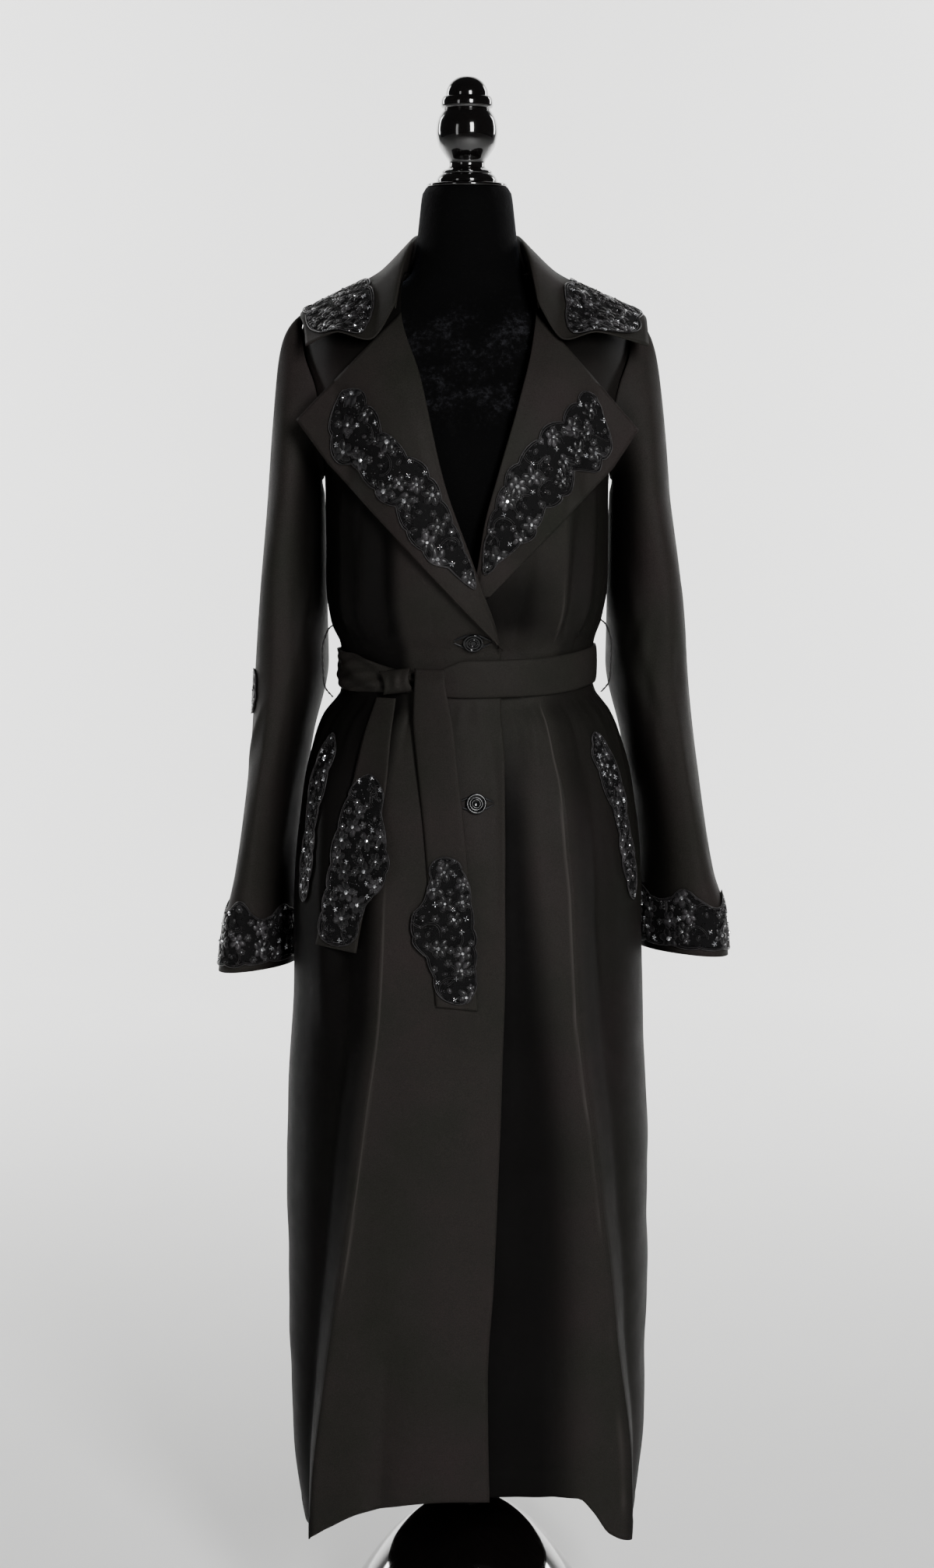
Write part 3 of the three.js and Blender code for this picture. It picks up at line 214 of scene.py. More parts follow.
def fold_rise(angle, z):
    """How far the folds move the body's surface out."""
    angle, z = np.broadcast_arrays(np.asarray(angle, float), np.asarray(z, float))
    total = np.zeros(angle.shape)
    for top, low, a_top, a_mid, a_low, rise_top, rise_low, spread in FOLDS:
        t = (top - z) / (top - low)
        inside = (t > 0) & (t <= 1)
        t = np.clip(t, 0, 1)
        path = a_top * (1 - t) * (1 - 2 * t) + a_mid * 4 * t * (1 - t) + a_low * t * (2 * t - 1)
        away = np.abs((angle - path + 180) % 360 - 180)
        crest = np.exp(-(np.hypot(away, FOLD_SOFTNESS) - FOLD_SOFTNESS) / spread)
        ends = smooth(t / 0.12) if low < 100 else smooth(t / 0.35) * smooth((1 - t) / 0.12)
        total += np.where(inside, crest * ends * lerp(rise_top, rise_low, t), 0)
    return total


def ring_point(row, angle, z, out=0.0):
    half, front, back, square = row
    turn = np.radians(angle)
    across, along = np.sin(turn), np.cos(turn)
    x = np.sign(across) * np.abs(across) ** (2 / square) * half
    y = -np.sign(along) * np.abs(along) ** (2 / square) * np.where(along > 0, front, back)
    return vec(x + across * out, y - along * out, z)


def near_waist(z):
    return np.exp(-(((z - WAIST_Z) / 110) ** 2))


def coat_point(angle, z, out=0.0):
    side = np.where(np.asarray(angle) > 180, angle - 360.0, angle)
    level = z - belt_rise(side)[0] * near_waist(z)
    return ring_point(coat_at(level), angle, z, fold_rise(angle, z) + out)


def angle_at(x, z):
    """The angle at which the front's outline has a given x."""
    side = np.where(np.asarray(x) < 0, -30.0, 30.0)
    half, _, _, square = coat_at(z - belt_rise(side)[0] * near_waist(z))
    share = np.clip(np.abs(x) / half, 0, 1) ** (square / 2)
    return np.sign(x) * np.degrees(np.arcsin(share))


def underlap(x, z):
    """How far the left front lies back from the right: it hangs open towards the hem."""
    hang = smooth((900 - z) / 520)
    reach = lerp(72, 112, hang)
    depth = lerp(3.8, 9, smooth((z - WAIST_Z) / 30)) + 11.2 * hang
    return smooth((reach - x) / (reach - 48)) * depth * smooth((1170 - z) / 45)


def creases(a, b, lines, wrap=None):
    """Soft ridges and valleys along lines: from (a, b) to (a, b), height, half width."""
    total = np.zeros(np.broadcast(a, b).shape)
    for a0, b0, a1, b1, height, width in lines:
        da, db = a1 - a0, b1 - b0
        aside = a - a0 if wrap is None else (a - a0 + wrap / 2) % wrap - wrap / 2
        t = np.clip((aside * da + (b - b0) * db) / (da * da + db * db), 0, 1)
        away = np.hypot(aside - t * da, b - b0 - t * db)
        crest = np.exp(-(np.hypot(away, 0.5 * width) - 0.5 * width) / width)
        total += height * crest * (0.35 + 0.65 * np.sin(math.pi * t))
    return total


def wobble(points, scale, seed, count=7):
    """A slow seeded unevenness, about -1 to 1."""
    picks = np.random.default_rng(seed)
    total = 0
    for _ in range(count):
        way = picks.normal(size=3) / scale
        total = total + np.sin(points @ way + picks.uniform(0, 6.3))
    return total / math.sqrt(count)


def gathers(seed, count, z_from, way):
    """Short folds that run off the belt: angle, start, length, lean, height, half width."""
    picks = np.random.default_rng(seed)
    return [
        (
            (i + picks.uniform(0.1, 0.9)) * 360 / count - 180, z_from, way * picks.uniform(35, 150),
            picks.uniform(-5, 5), picks.choice([-1, 1]) * picks.uniform(0.5, 1.9), picks.uniform(1.0, 2.4),
        )
        for i in range(count)
    ]


GATHERS = gathers(5, 62, 990, -1) + gathers(6, 58, 1038, 1)


# Pressed creases of the fronts: the angle at each height
CREASES = {
    "right": (860, 90, (-24, -33, -62)),
    "left": (985, 90, (32, 38, 66)),
}
CREASE_SHARE = 0.5


def crease_angle(side, z):
    top, low, (a, b, c) = CREASES[side]
    t = np.clip((top - z) / (top - low), 0, 1)
    path = a * (1 - t) * (1 - 2 * t) + b * 4 * t * (1 - t) + c * t * (2 * t - 1)
    if side == "left":
        path = lerp(path, 40.5, smooth((z - 960) / 80))
    return path


def pressed(angle, z):
    """Where a pressed crease shows on the body, 0 to 1."""
    total = np.zeros(angle.shape)
    for side, fade in (("right", smooth((835 - z) / 90)), ("left", smooth((1190 - z) / 90))):
        away = np.abs(angle - crease_angle(side, z)) * 2.7
        belted = 1 - smooth((z - 975) / 12) * smooth((1056 - z) / 12)
        total += np.exp(-(away / 0.8) ** 2) * fade * belted * smooth((z - 140) / 40)
    return np.minimum(total, 1)


def painted_shade(side, x, angle, z):
    """Painted shade, 0 to 1, that darkens the cloth's colour: in the panels past the creases, under the collar
    and the lapel, and where the left front sinks back.
    """
    past = np.abs(angle) - np.abs(crease_angle(side, z))
    collar_shadow = 0.8 * smooth((z - 1290) / 50)
    if side == "right":
        return np.maximum(0.88 * smooth(past / 7) * smooth((1290 - z) / 90), collar_shadow)
    hang = smooth((950 - z) / 500)
    underlap_shadow = smooth((lerp(66, 132, hang) - x) / lerp(22, 60, hang))
    fade = smooth((985 - z) / 120)
    lapel_shadow = smooth((1150 - z) / 60) * smooth((z - 1040) / 30) * smooth((110 - x) / 60)
    dark = np.clip(0.93 * underlap_shadow * fade + 0.45 * smooth(past / 8) + 0.75 * lapel_shadow, 0, 0.95)
    return np.maximum(dark, collar_shadow)


def body_detail(angle, z, points):
    """What the body has beyond the solid's folds: gathers, unevenness and the hem's turn-up."""
    side = np.where(angle > 180, angle - 360, angle)
    total = np.zeros(angle.shape)
    for at, start, length, lean, height, width in GATHERS:
        t = (z - start) / length
        inside = (t > 0) & (t < 1)
        t = np.clip(t, 0, 1)
        away = np.abs((side - at - lean * t + 180) % 360 - 180)
        hush = 1 if length < 0 else 0.25 + 0.75 * smooth((abs(at) - 40) / 20)
        shape = np.exp(-(away / (width * (0.7 + 1.3 * t))) ** 2)
        total += np.where(inside, hush * height * shape * smooth(t / 0.12) * (1 - smooth(t)), 0)
    calm = smooth(np.abs(z - WAIST_Z) / 60 - 0.4)
    total += calm * (0.9 * wobble(points, 46, 3) + 0.35 * wobble(points, 17, 4))
    over_hem = z - hem_at(side)[0]
    total += 0.5 * smooth((27 - over_hem) / 1.6) - 0.55 * np.exp(-((over_hem - 28) / 1.3) ** 2)
    return total + 0.35 * pressed(side, z)


def armhole_angle(z):
    share = np.clip((z - UNDERARM_Z) / (SHOULDER_Z - UNDERARM_Z), 0, 1)
    return 90 - 22 * np.sin(math.pi * share) ** 0.55


def panel_z(angle, v):
    even = lerp(ROWS_LOW_Z, TOP_Z, v)
    side = np.where(angle > 180, angle - 360, angle)
    return even + (hem_at(side)[0] - ROWS_LOW_Z) * np.maximum(0, 1 - v / 0.14) ** 1.4


def body_at(side, angle, z, out=0.0):
    """A place on the finished body cloth, the left front tucked under the right."""
    angle = angle + 0.0 * z
    base = coat_point(angle, z)
    drop = underlap(base[..., 0], z) if side == "left" else 0
    return coat_point(angle, z, out - drop + body_detail(angle, z, base))


def front_surface(side):
    sign = -1 if side == "right" else 1

    def span(u, z):
        """Columns run from the side seam over the pressed crease to the front edge."""
        outer = sign * np.where((z > UNDERARM_Z) & (z < SHOULDER_Z), armhole_angle(z), 89.94)
        inner = angle_at(edges[side](z)[0], z)
        limit = lerp(inner, outer, 0.84)
        ridge = sign * np.minimum(sign * crease_angle(side, z), sign * limit)
        ridge = lerp(ridge, lerp(inner, outer, 0.5), smooth((z - 1230) / 60))
        first = lerp(outer, ridge, u / CREASE_SHARE)
        second = lerp(ridge, inner, (u - CREASE_SHARE) / (1 - CREASE_SHARE))
        return np.where(u < CREASE_SHARE, first, second)

    def at(u, v):
        guess = span(u, panel_z(0 * u, v))
        z = panel_z(guess, v)
        return body_at(side, span(u, z), z)

    return at


def back_surface(u, v):
    z = panel_z(lerp(90, 270, u), v)
    start = np.where((z > UNDERARM_Z) & (z < SHOULDER_Z), 180 - armhole_angle(z), 90.06)
    return body_at("back", lerp(start, 360 - start, u), z)


def lapel_surface(name):
    side, roll_top, roll_low, tip, corner, end, flat_z = LAPELS[name]

    def at(u, v):
        roll_z = lerp(roll_top, roll_low, v)
        roll_x = edges[name](roll_z)[0]
        first = np.clip(v / CORNER_SHARE, 0, 1)
        past = np.clip((v - CORNER_SHARE) / (1 - CORNER_SHARE), 0, 1)
        out_x = np.where(v < CORNER_SHARE, lerp(tip[0], corner[0], first), lerp(corner[0], end[0], past))
        out_z = np.where(v < CORNER_SHARE, lerp(tip[1], corner[1], first), lerp(corner[1], end[1], past))
        x, z = lerp(roll_x, out_x, u), lerp(roll_z, out_z, u)
        reach = 0.8 * coat_at(z)[0]
        own = np.sign(x) == side
        angle = np.where(own, side * angle_at(np.minimum(np.abs(x), reach), z), angle_at(x, z))
        base = coat_point(angle, z)
        if name == "left":
            base = coat_point(angle, z, -underlap(base[..., 0], z))
        beyond = np.maximum(0, np.abs(x) - reach)
        spring = lerp(3, 13, 1 - v) * np.sin(math.pi / 2 * u) ** 2 * smooth((z - flat_z) / 60)
        lift = FACED_WALL + lerp(1.2, 3.3, smooth(u / 0.2)) + 2.6 * smooth((z - 1325) / 35) + spring
        bow = 0.8 * np.sin(v * 7 + side) * np.sin(math.pi * u) ** 2
        return vec(x, base[..., 1] + 0.45 * beyond - lift - bow, z)

    return at


def catmull(points, t, tension):
    """A three-point-blend curve through control points at shares t."""
    points = [2 * points[0] - points[1], *points, 2 * points[-1] - points[-2]]
    stack = np.stack(points)
    place = np.clip(t, 0, 1) * (len(points) - 3)
    i = np.minimum(place.astype(int), len(points) - 4)
    w = (place - i)[..., None]
    pick = lambda k: np.take_along_axis(stack, (i + k)[None, ..., None], 0)[0]
    p0, p1, p2, p3 = pick(0), pick(1), pick(2), pick(3)
    m1, m2 = tension * (p2 - p0), tension * (p3 - p1)
    return (2 * p1 - 2 * p2 + m1 + m2) * w**3 + (-3 * p1 + 3 * p2 - 2 * m1 - m2) * w * w + m1 * w + p1


def collar_surface(u, v):
    around = 2 * u - 1
    side = np.where(around < 0, -1.0, 1.0)
    far = np.abs(around)
    bx, by, bz, fx, fy, fz, ex, ey, ez = collar_at(far)
    ex = np.where(side < 0, ex - RIGHT_LEAF_IN * smooth((far - 0.6) / 0.4), ex)
    base, fold, edge = vec(bx, by, bz), vec(fx, fy, fz), vec(ex, ey, ez)
    out = edge - fold
    out[..., 2] = 0
    front = smooth((far - 0.85) / 0.15)[..., None]
    near = lerp(lerp(fold, edge, 0.3) + [0, 0, -9], np.array(NOTCH, float), front)
    mid = lerp(lerp(fold, edge, 0.66) + [0, 0, -5], np.array(ARCH, float), front)
    crown = fold - unit(out) + [0, 0, 1.5]
    point = catmull([base, crown, near, mid, edge], v + 0 * u, 0.42)
    point[..., 0] *= side
    return point


def drag_folds(seed, count):
    """Seeded slanting folds of a sleeve, deeper towards the elbow: round the arm in mm, height, and so on."""
    picks = np.random.default_rng(seed)
    lines = []
    for _ in range(count):
        a, b = picks.uniform(0, 360), picks.choice([picks.uniform(900, 1080), picks.uniform(730, 1180)])
        lean, long = picks.uniform(-34, 34), picks.uniform(26, 75)
        height = picks.choice([-1, 1]) * picks.uniform(1.4, 3.4)
        lines.append((a - lean, b + long, a + lean, b - long, height, picks.uniform(6, 12)))
    return lines


SLEEVE_FOLDS = {
    "right": [(52, 1130, 88, 1000, 4, 9), (95, 1080, 60, 940, -4, 9), (120, 1100, 112, 780, 3, 10)],
    "left": [(60, 1120, 96, 990, 4, 9), (100, 1060, 70, 930, -4, 9), (125, 1100, 118, 800, 3, 10)],
}
SLEEVE_FOLDS["right"] += drag_folds(21, 17)
SLEEVE_FOLDS["left"] += drag_folds(29, 17)
ARM_ROUND = 360


def sleeve_surface(name):
    sign = -1 if name == "right" else 1
    rows = SLEEVES[name]
    high_z, low_z = rows[0][0], rows[-1][0]

    def ring(turn, z):
        outer, inner, mid, depth, lean = sleeve_at[name](z)
        wave = 1 + 0.035 * np.sin(3 * turn + z / 60) * smooth((high_z - z) / 120)
        folds = creases(turn / (2 * math.pi) * ARM_ROUND, z, SLEEVE_FOLDS[name], ARM_ROUND)
        folds = folds * smooth((z - low_z - 60) / 60) * smooth((1 - np.cos(turn)) / 0.7)
        half = (outer - inner) / 2 * wave + folds
        x = (outer + inner) / 2 - half * np.cos(turn)
        y = mid - (depth * wave + folds) * np.sin(turn) + lean * np.cos(turn)
        return vec(sign * x, y, z)

    def at(u, v):
        turn = 2 * math.pi * u + 0 * v
        down = np.clip((v - CAP_SHARE) / (1 - CAP_SHARE), 0, 1)
        cuff = 3 * np.cos(turn - 0.6) * smooth(down * 8 - 7)
        lower = ring(turn, lerp(high_z, low_z + cuff, down))
        high = (1 - np.cos(turn)) / 2
        z = lerp(UNDERARM_Z - 1, SHOULDER_Z + 1, high)
        around = np.where(np.sin(turn) >= 0, armhole_angle(z), 180 - armhole_angle(z))
        start = coat_point(around, z, 0.2)
        aside = sign * (np.abs(start[..., 0]) + 0.3 + 0.9 * high)
        start = vec(aside, start[..., 1], start[..., 2] + 1.6 * high**6)
        finish = ring(turn, high_z + 0 * turn)
        leave = start + vec(sign * lerp(5, 30, high), 0, lerp(-2, 2, high))
        arrive = finish + vec(-sign * lerp(0, 8, high), 0, lerp(5, 118, high))
        t = np.clip(v / CAP_SHARE, 0, 1)[..., None]
        cap = start * (1 - t) ** 3 + leave * 3 * t * (1 - t) ** 2
        cap = cap + arrive * 3 * t * t * (1 - t) + finish * t**3
        return np.where((v < CAP_SHARE)[..., None], cap, lower)

    return at


def belt_surface(u, v):
    angle = lerp(KNOT_ANGLE + 2, KNOT_ANGLE + 358, u)
    side = np.where(angle > 180, angle - 360, angle)
    drawn = smooth((side + 64) / 44) * smooth((KNOT_ANGLE + 4 - side) / 6)
    crumple = smooth((side + 125) / 60) * smooth((KNOT_ANGLE + 4 - side) / 6)
    eased = smooth(-side / 13) * (side > KNOT_ANGLE)
    width = BELT_WIDTH * (1 - 0.5 * drawn - 0.26 * eased)
    z = WAIST_Z + belt_rise(side)[0] - 4 * (drawn + eased) + (v - 0.5) * width
    rolled = -1.2 * (2 * np.abs(v - 0.5)) ** 6
    folds = crumple * (1.5 * np.sin(v * 9 + side * 0.16) + 0.9 * np.sin(v * 17 - side * 0.31 + 1))
    slack = 0.5 * np.sin(side * 0.09) * np.sin(math.pi * v)
    return ring_point(coat_at(WAIST_Z + 0 * z), angle, z, BELT_WALL + BELT_GAP + rolled + folds + slack)


def tail_surface(rows, seed):
    at_row = table(rows)
    top, low = rows[0][0], rows[-1][0]

    def at(u, v):
        z = lerp(top, low, v)
        middle, width, lift, turn = at_row(z)
        left, centre, right = (coat_point(angle_at(middle + k * width / 2, z), z)[..., 1] for k in (-1, 0, 1))
        bulge = np.maximum(0, (left + right) / 2 - centre)
        twist = np.sin(np.radians(turn)) * (u - 0.5) * width
        x = middle + (u - 0.5) * width * np.cos(np.radians(turn))
        curl = 1.4 * np.sin(v * 9 + seed) * (u - 0.5) + 0.9 * np.sin(math.pi * u) * np.sin(v * 5 + seed)
        rolled = 0.9 * np.minimum(2 * np.abs(u - 0.5), 1) ** 8
        y = lerp(left, right, u) - bulge - lift - twist - curl + rolled
        return vec(x, y, z - 4 * (u - 0.5) * smooth(v * 20 - 19))

    return at


def knot_surface(u, v):
    arch = np.maximum(np.sin(math.pi * v), 0)
    x = KNOT["x"] + (2 * u - 1) * (KNOT["half"] - 3 * arch) + 4 * (v - 0.5)
    z = KNOT["z"] - (v - 0.5) * 2 * KNOT["tall"] + 5 * (u - 0.5)
    base = ring_point(coat_at(WAIST_Z + 0 * z), angle_at(x, WAIST_Z + 0 * z), z, BELT_WALL + BELT_GAP)
    pleats = 0.9 * np.sin(u * 15 + 2 * v) * arch
    return base + vec(0, -1.5 - KNOT["out"] * arch**0.6 * (0.75 + 0.25 * np.sin(math.pi * u)) - pleats, 0)


# Meshes
def mesh_object(name, verts, faces, looks, uv=None, marks=None, flat=()):
    mesh = bpy.data.meshes.new(name)
    mesh.from_pydata((np.asarray(verts) * METRE).tolist(), [], faces)
    mesh.polygons.foreach_set("use_smooth", [True] * len(faces))
    for look in looks if isinstance(looks, (list, tuple)) else [looks]:
        mesh.materials.append(look)
    if marks is not None:
        mesh.polygons.foreach_set("material_index", marks)
        mesh.polygons.foreach_set("use_smooth", [mark not in flat for mark in marks])
    if uv is not None:
        layer = mesh.uv_layers.new(name="cloth")
        loops = np.zeros(len(mesh.loops), int)
        mesh.loops.foreach_get("vertex_index", loops)
        layer.data.foreach_set("uv", uv[loops].astype(np.float32).ravel())
    mesh.update()
    made = bpy.data.objects.new(name, mesh)
    bpy.context.collection.objects.link(made)
    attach(made, "root")
    return made


def grid_faces(rows, columns, closed, flip):
    last = columns if closed else columns - 1
    faces = []
    for r in range(rows - 1):
        for c in range(last):
            n = (c + 1) % columns
            quad = (r * columns + c, r * columns + n, (r + 1) * columns + n, (r + 1) * columns + c)
            faces.append(quad[::-1] if flip else quad)
    return faces


def facing_out(points, centre):
    """Whether rows and columns wind so that their faces look away from a centre."""
    du, dv = np.gradient(points, axis=1), np.gradient(points, axis=0)
    return float(np.sum(np.cross(du, dv) * (points - centre))) > 0


def mark(made, name, amount):
    """Keeps a value at each point of the cloth, for its material."""
    layer = made.data.attributes.new(name, "FLOAT", "POINT")
    layer.data.foreach_set("value", np.asarray(amount, np.float32).ravel())


def wall(made, thickness):
    solid = made.modifiers.new("wall", "SOLIDIFY")
    solid.thickness = thickness * METRE
    solid.offset = -1
    solid.use_rim = True
    return made


def cloth_piece(name, points, look, thickness, closed=False, centre=None):
    """A sheet of cloth over rows and columns of points, with its cloth measure as UVs."""
    if centre is None:
        centre = vec(0, 10, points[..., 2])
    if closed:
        points = points[:, :-1]
    rows, columns = points.shape[:2]
    flip = not facing_out(points, centre)
    across = np.cumsum(np.linalg.norm(np.diff(points, axis=1, prepend=points[:, :1]), axis=-1), axis=1)
    across -= across[:, columns // 2 : columns // 2 + 1]
    along = np.cumsum(np.linalg.norm(np.diff(points, axis=0, prepend=points[:1]), axis=-1), axis=0)
    uv = np.stack([across, along.mean(axis=1, keepdims=True) + 0 * across], -1).reshape(-1, 2) * METRE
    made = mesh_object(name, points.reshape(-1, 3), grid_faces(rows, columns, closed, flip), look, uv)
    return wall(made, thickness)


def grid(surface, columns, rows):
    across = np.linspace(0, 1, columns) if isinstance(columns, int) else columns
    u, v = np.meshgrid(across, np.linspace(0, 1, rows))
    return surface(u, v)


def crease_columns(count):
    """Columns that crowd together at a pressed crease."""
    near = np.array([0.0026, 0.0055, 0.009, 0.014])
    even = np.linspace(0, 1, count)
    even = even[np.abs(even - CREASE_SHARE) > 0.018]
    return np.sort(np.concatenate([even, CREASE_SHARE - near, [CREASE_SHARE], CREASE_SHARE + near]))


def rolled_edge(points, radius, steps=7):
    """Columns that carry a sheet's first column round a half turn to lie behind it."""
    way = unit(points[:, 0] - points[:, 1])
    normal = unit(np.cross(np.gradient(points, axis=1), np.gradient(points, axis=0))[:, 0])
    if normal[:, 1].mean() > 0:
        normal = -normal
    turns = np.linspace(math.pi, 0, steps)[:-1]
    centre = points[:, 0] - radius * normal
    roll = [centre + radius * (math.cos(t) * normal + math.sin(t) * way) for t in turns]
    return np.concatenate([np.stack(roll, 1), points], axis=1)


def lathe(name, profile, look, segments=72):
    """A turned piece. profile is a list of smooth runs of (radius, height), with a crease between runs."""
    rings = []
    for run in profile:
        run = np.array(run, float)
        count = 1 if len(run) < 3 else 4 * (len(run) - 1)
        t = np.linspace(0, 1, count + 1)
        flat = [np.broadcast_to(p, (len(t), 2)).copy() for p in run]
        rings.extend(run if len(run) < 3 else catmull(flat, t, 0.5))
    rings = np.array(rings)
    turn = np.linspace(0, 2 * math.pi, segments, endpoint=False)
    radius, height = np.maximum(rings[:, :1], 0), rings[:, 1:]
    points = vec(radius * np.cos(turn), radius * np.sin(turn), height + 0 * turn)
    made = mesh_object(name, points.reshape(-1, 3), grid_faces(len(rings), segments, True, False), look)
    weld(made, 35)
    return made


def weld(made, sharp):
    """Joins points that meet, faces outwards and keeps edges above an angle crisp."""
    mesh = bmesh.new()
    mesh.from_mesh(made.data)
    bmesh.ops.remove_doubles(mesh, verts=mesh.verts, dist=1e-6)
    bmesh.ops.dissolve_degenerate(mesh, edges=mesh.edges, dist=1e-6)
    bmesh.ops.recalc_face_normals(mesh, faces=mesh.faces)
    for edge in mesh.edges:
        edge.smooth = edge.calc_face_angle(0) < math.radians(sharp)
    mesh.to_mesh(made.data)
    mesh.free()


def tube(path, normals, radius, sides=6, closed=False, lift=0.0):
    """Rings of points round a path that lies on a surface, and their faces."""
    if closed:
        ahead, behind = np.roll(path, -1, 0), np.roll(path, 1, 0)
        along = unit(ahead - behind)
    else:
        along = unit(np.gradient(path, axis=0))
    aside = unit(np.cross(along, normals))
    up = unit(np.cross(aside, along))
    turn = np.linspace(0, 2 * math.pi, sides, endpoint=False)
    size = np.broadcast_to(radius, len(path))[:, None, None]
    rise, reach = lift + size * np.cos(turn)[:, None], size * np.sin(turn)[:, None]
    ring = path[:, None] + up[:, None] * rise + aside[:, None] * reach
    count = len(path)
    faces = grid_faces(count, sides, True, False)
    last = (count - 1) * sides
    if closed:
        faces += [(last + k, last + (k + 1) % sides, (k + 1) % sides, k) for k in range(sides)]
    else:
        faces += [tuple(range(sides)), tuple(last + k for k in reversed(range(sides)))]
    return ring.reshape(-1, 3), faces


# Materials
def node(tree, kind, props=None, **inputs):
    made = tree.nodes.new("ShaderNode" + kind)
    for key, value in (props or {}).items():
        setattr(made, key, value)
    for key, value in inputs.items():
        socket = made.inputs[key.replace("_", " ")]
        if isinstance(value, bpy.types.NodeSocket):
            tree.links.new(value, socket)
        else:
            socket.default_value = value
    return made


def material(name, **fixed):
    look = bpy.data.materials.new(name)
    look.use_nodes = True
    tree = look.node_tree
    shader = tree.nodes["Principled BSDF"]
    for key, value in fixed.items():
        shader.inputs[key.replace("_", " ")].default_value = value
    return look, tree, shader, node(tree, "TexCoord")


def ramp(tree, fac, stops):
    made = node(tree, "ValToRGB", Fac=fac)
    points = made.color_ramp.elements
    while len(points) < len(stops):
        points.new(0.5)
    for point, (place, color) in zip(points, stops):
        point.position = place
        point.color = (*color, 1)
    return made.outputs["Color"]


def noise(tree, where, scale, detail=3.0, roughness=0.55):
    made = node(tree, "TexNoise", Vector=where, Scale=scale, Detail=detail, Roughness=roughness)
    return made.outputs["Fac"]


def maths(tree, kind, a, b=0.5):
    made = node(tree, "Math", {"operation": kind})
    for socket, value in zip(made.inputs, (a, b)):
        if isinstance(value, bpy.types.NodeSocket):
            tree.links.new(value, socket)
        else:
            socket.default_value = value
    return made.outputs[0]


def scaled(tree, value, low, high):
    return node(tree, "MapRange", Value=value, To_Min=low, To_Max=high).outputs["Result"]


def bumped(tree, shader, *layers):
    """Bump layers of (height, strength, distance in metres), one over the other."""
    normal = None
    for height, strength, distance in layers:
        made = node(tree, "Bump", Height=height, Strength=strength, Distance=distance)
        if normal is not None:
            tree.links.new(normal, made.inputs["Normal"])
        normal = made.outputs["Normal"]
    tree.links.new(normal, shader.inputs["Normal"])


def cloth_look():
    look, tree, shader, place = material("coat_cloth", Specular_IOR_Level=0.06)
    uv, around = place.outputs["UV"], place.outputs["Object"]
    cast = noise(tree, around, 9, 4)
    fleck = noise(tree, around, 900, 2)
    stops = [(0.3, (0.0145, 0.0148, 0.0120)), (0.5, (0.0178, 0.0160, 0.0144)), (0.7, (0.0208, 0.0165, 0.0160))]
    tone = ramp(tree, cast, stops)
    mixed = node(tree, "Mix", {"data_type": "RGBA", "blend_type": "MULTIPLY"})
    mixed.inputs[0].default_value = 1
    tree.links.new(tone, mixed.inputs[6])
    tree.links.new(ramp(tree, fleck, [(0.3, (0.8, 0.8, 0.8)), (0.7, (1.2, 1.2, 1.2))]), mixed.inputs[7])
    # Painted shade: a value kept at each point mixes the colour towards near black, on the fronts and on the
    # sleeves' inner sides.
    painted_shade_amount = node(tree, "Attribute", {"attribute_name": "painted_shade"}).outputs["Fac"]
    shaded = node(tree, "Mix", {"data_type": "RGBA"})
    tree.links.new(painted_shade_amount, shaded.inputs[0])
    tree.links.new(mixed.outputs[2], shaded.inputs[6])
    shaded.inputs[7].default_value = (0.0012, 0.001, 0.001, 1)
    # Painted highlight with rubbed wear: the colour is lighter along the pressed creases.
    crease_light_and_rub = node(tree, "Attribute", {"attribute_name": "pressed"}).outputs["Fac"]
    crease_light_mix = node(tree, "Mix", {"data_type": "RGBA"})
    tree.links.new(crease_light_and_rub, crease_light_mix.inputs[0])
    tree.links.new(shaded.outputs[2], crease_light_mix.inputs[6])
    crease_light_mix.inputs[7].default_value = (0.040, 0.036, 0.033, 1)
    tree.links.new(crease_light_mix.outputs[2], shader.inputs["Base Color"])
    tree.links.new(scaled(tree, noise(tree, around, 34, 3), 0.52, 0.7), shader.inputs["Roughness"])
    warp = node(tree, "TexWave", {"bands_direction": "X"}, Vector=uv, Scale=820.0, Distortion=0.6, Detail=1.0)
    weft = node(tree, "TexWave", {"bands_direction": "Y"}, Vector=uv, Scale=760.0, Distortion=0.6, Detail=1.0)
    weave = maths(tree, "MAXIMUM", warp.outputs["Fac"], weft.outputs["Fac"])
    soft = noise(tree, around, 55, 4)
    bumped(tree, shader, (weave, 0.25, 0.00012), (soft, 0.3, 0.0012))
    return look


def velvet_look():
    fixed = {"Roughness": 0.9, "Sheen_Weight": 0.25, "Sheen_Roughness": 0.3, "Specular_IOR_Level": 0.1}
    look, tree, shader, place = material("form_velvet", **fixed)
    shader.inputs["Sheen Tint"].default_value = (0.10, 0.11, 0.14, 1)
    around = place.outputs["Object"]
    patch = noise(tree, around, 30, 5, 0.7)
    fine = noise(tree, around, 210, 5, 0.75)
    # Painted light: the nap's flecks are brighter in a band round the chest, between about 1.24 and 1.40 m up,
    # and dimmer above and below it.
    height = node(tree, "SeparateXYZ", Vector=around).outputs["Z"]
    low = node(tree, "MapRange", Value=height, From_Min=1.235, From_Max=1.285).outputs["Result"]
    high = node(tree, "MapRange", Value=height, From_Min=1.40, From_Max=1.36).outputs["Result"]
    painted_chest_light = scaled(tree, maths(tree, "MULTIPLY", low, high), 0.55, 1.0)
    nap_with_painted_light = maths(tree, "MULTIPLY", maths(tree, "MULTIPLY", patch, fine), painted_chest_light)
    stops = [(0.2, (0.0002, 0.0002, 0.0003)), (0.27, (0.0015, 0.0015, 0.0018)), (0.42, (0.018, 0.018, 0.021))]
    tree.links.new(ramp(tree, nap_with_painted_light, stops), shader.inputs["Base Color"])
    bumped(tree, shader, (fine, 0.6, 0.0012), (patch, 0.5, 0.003))
    return look


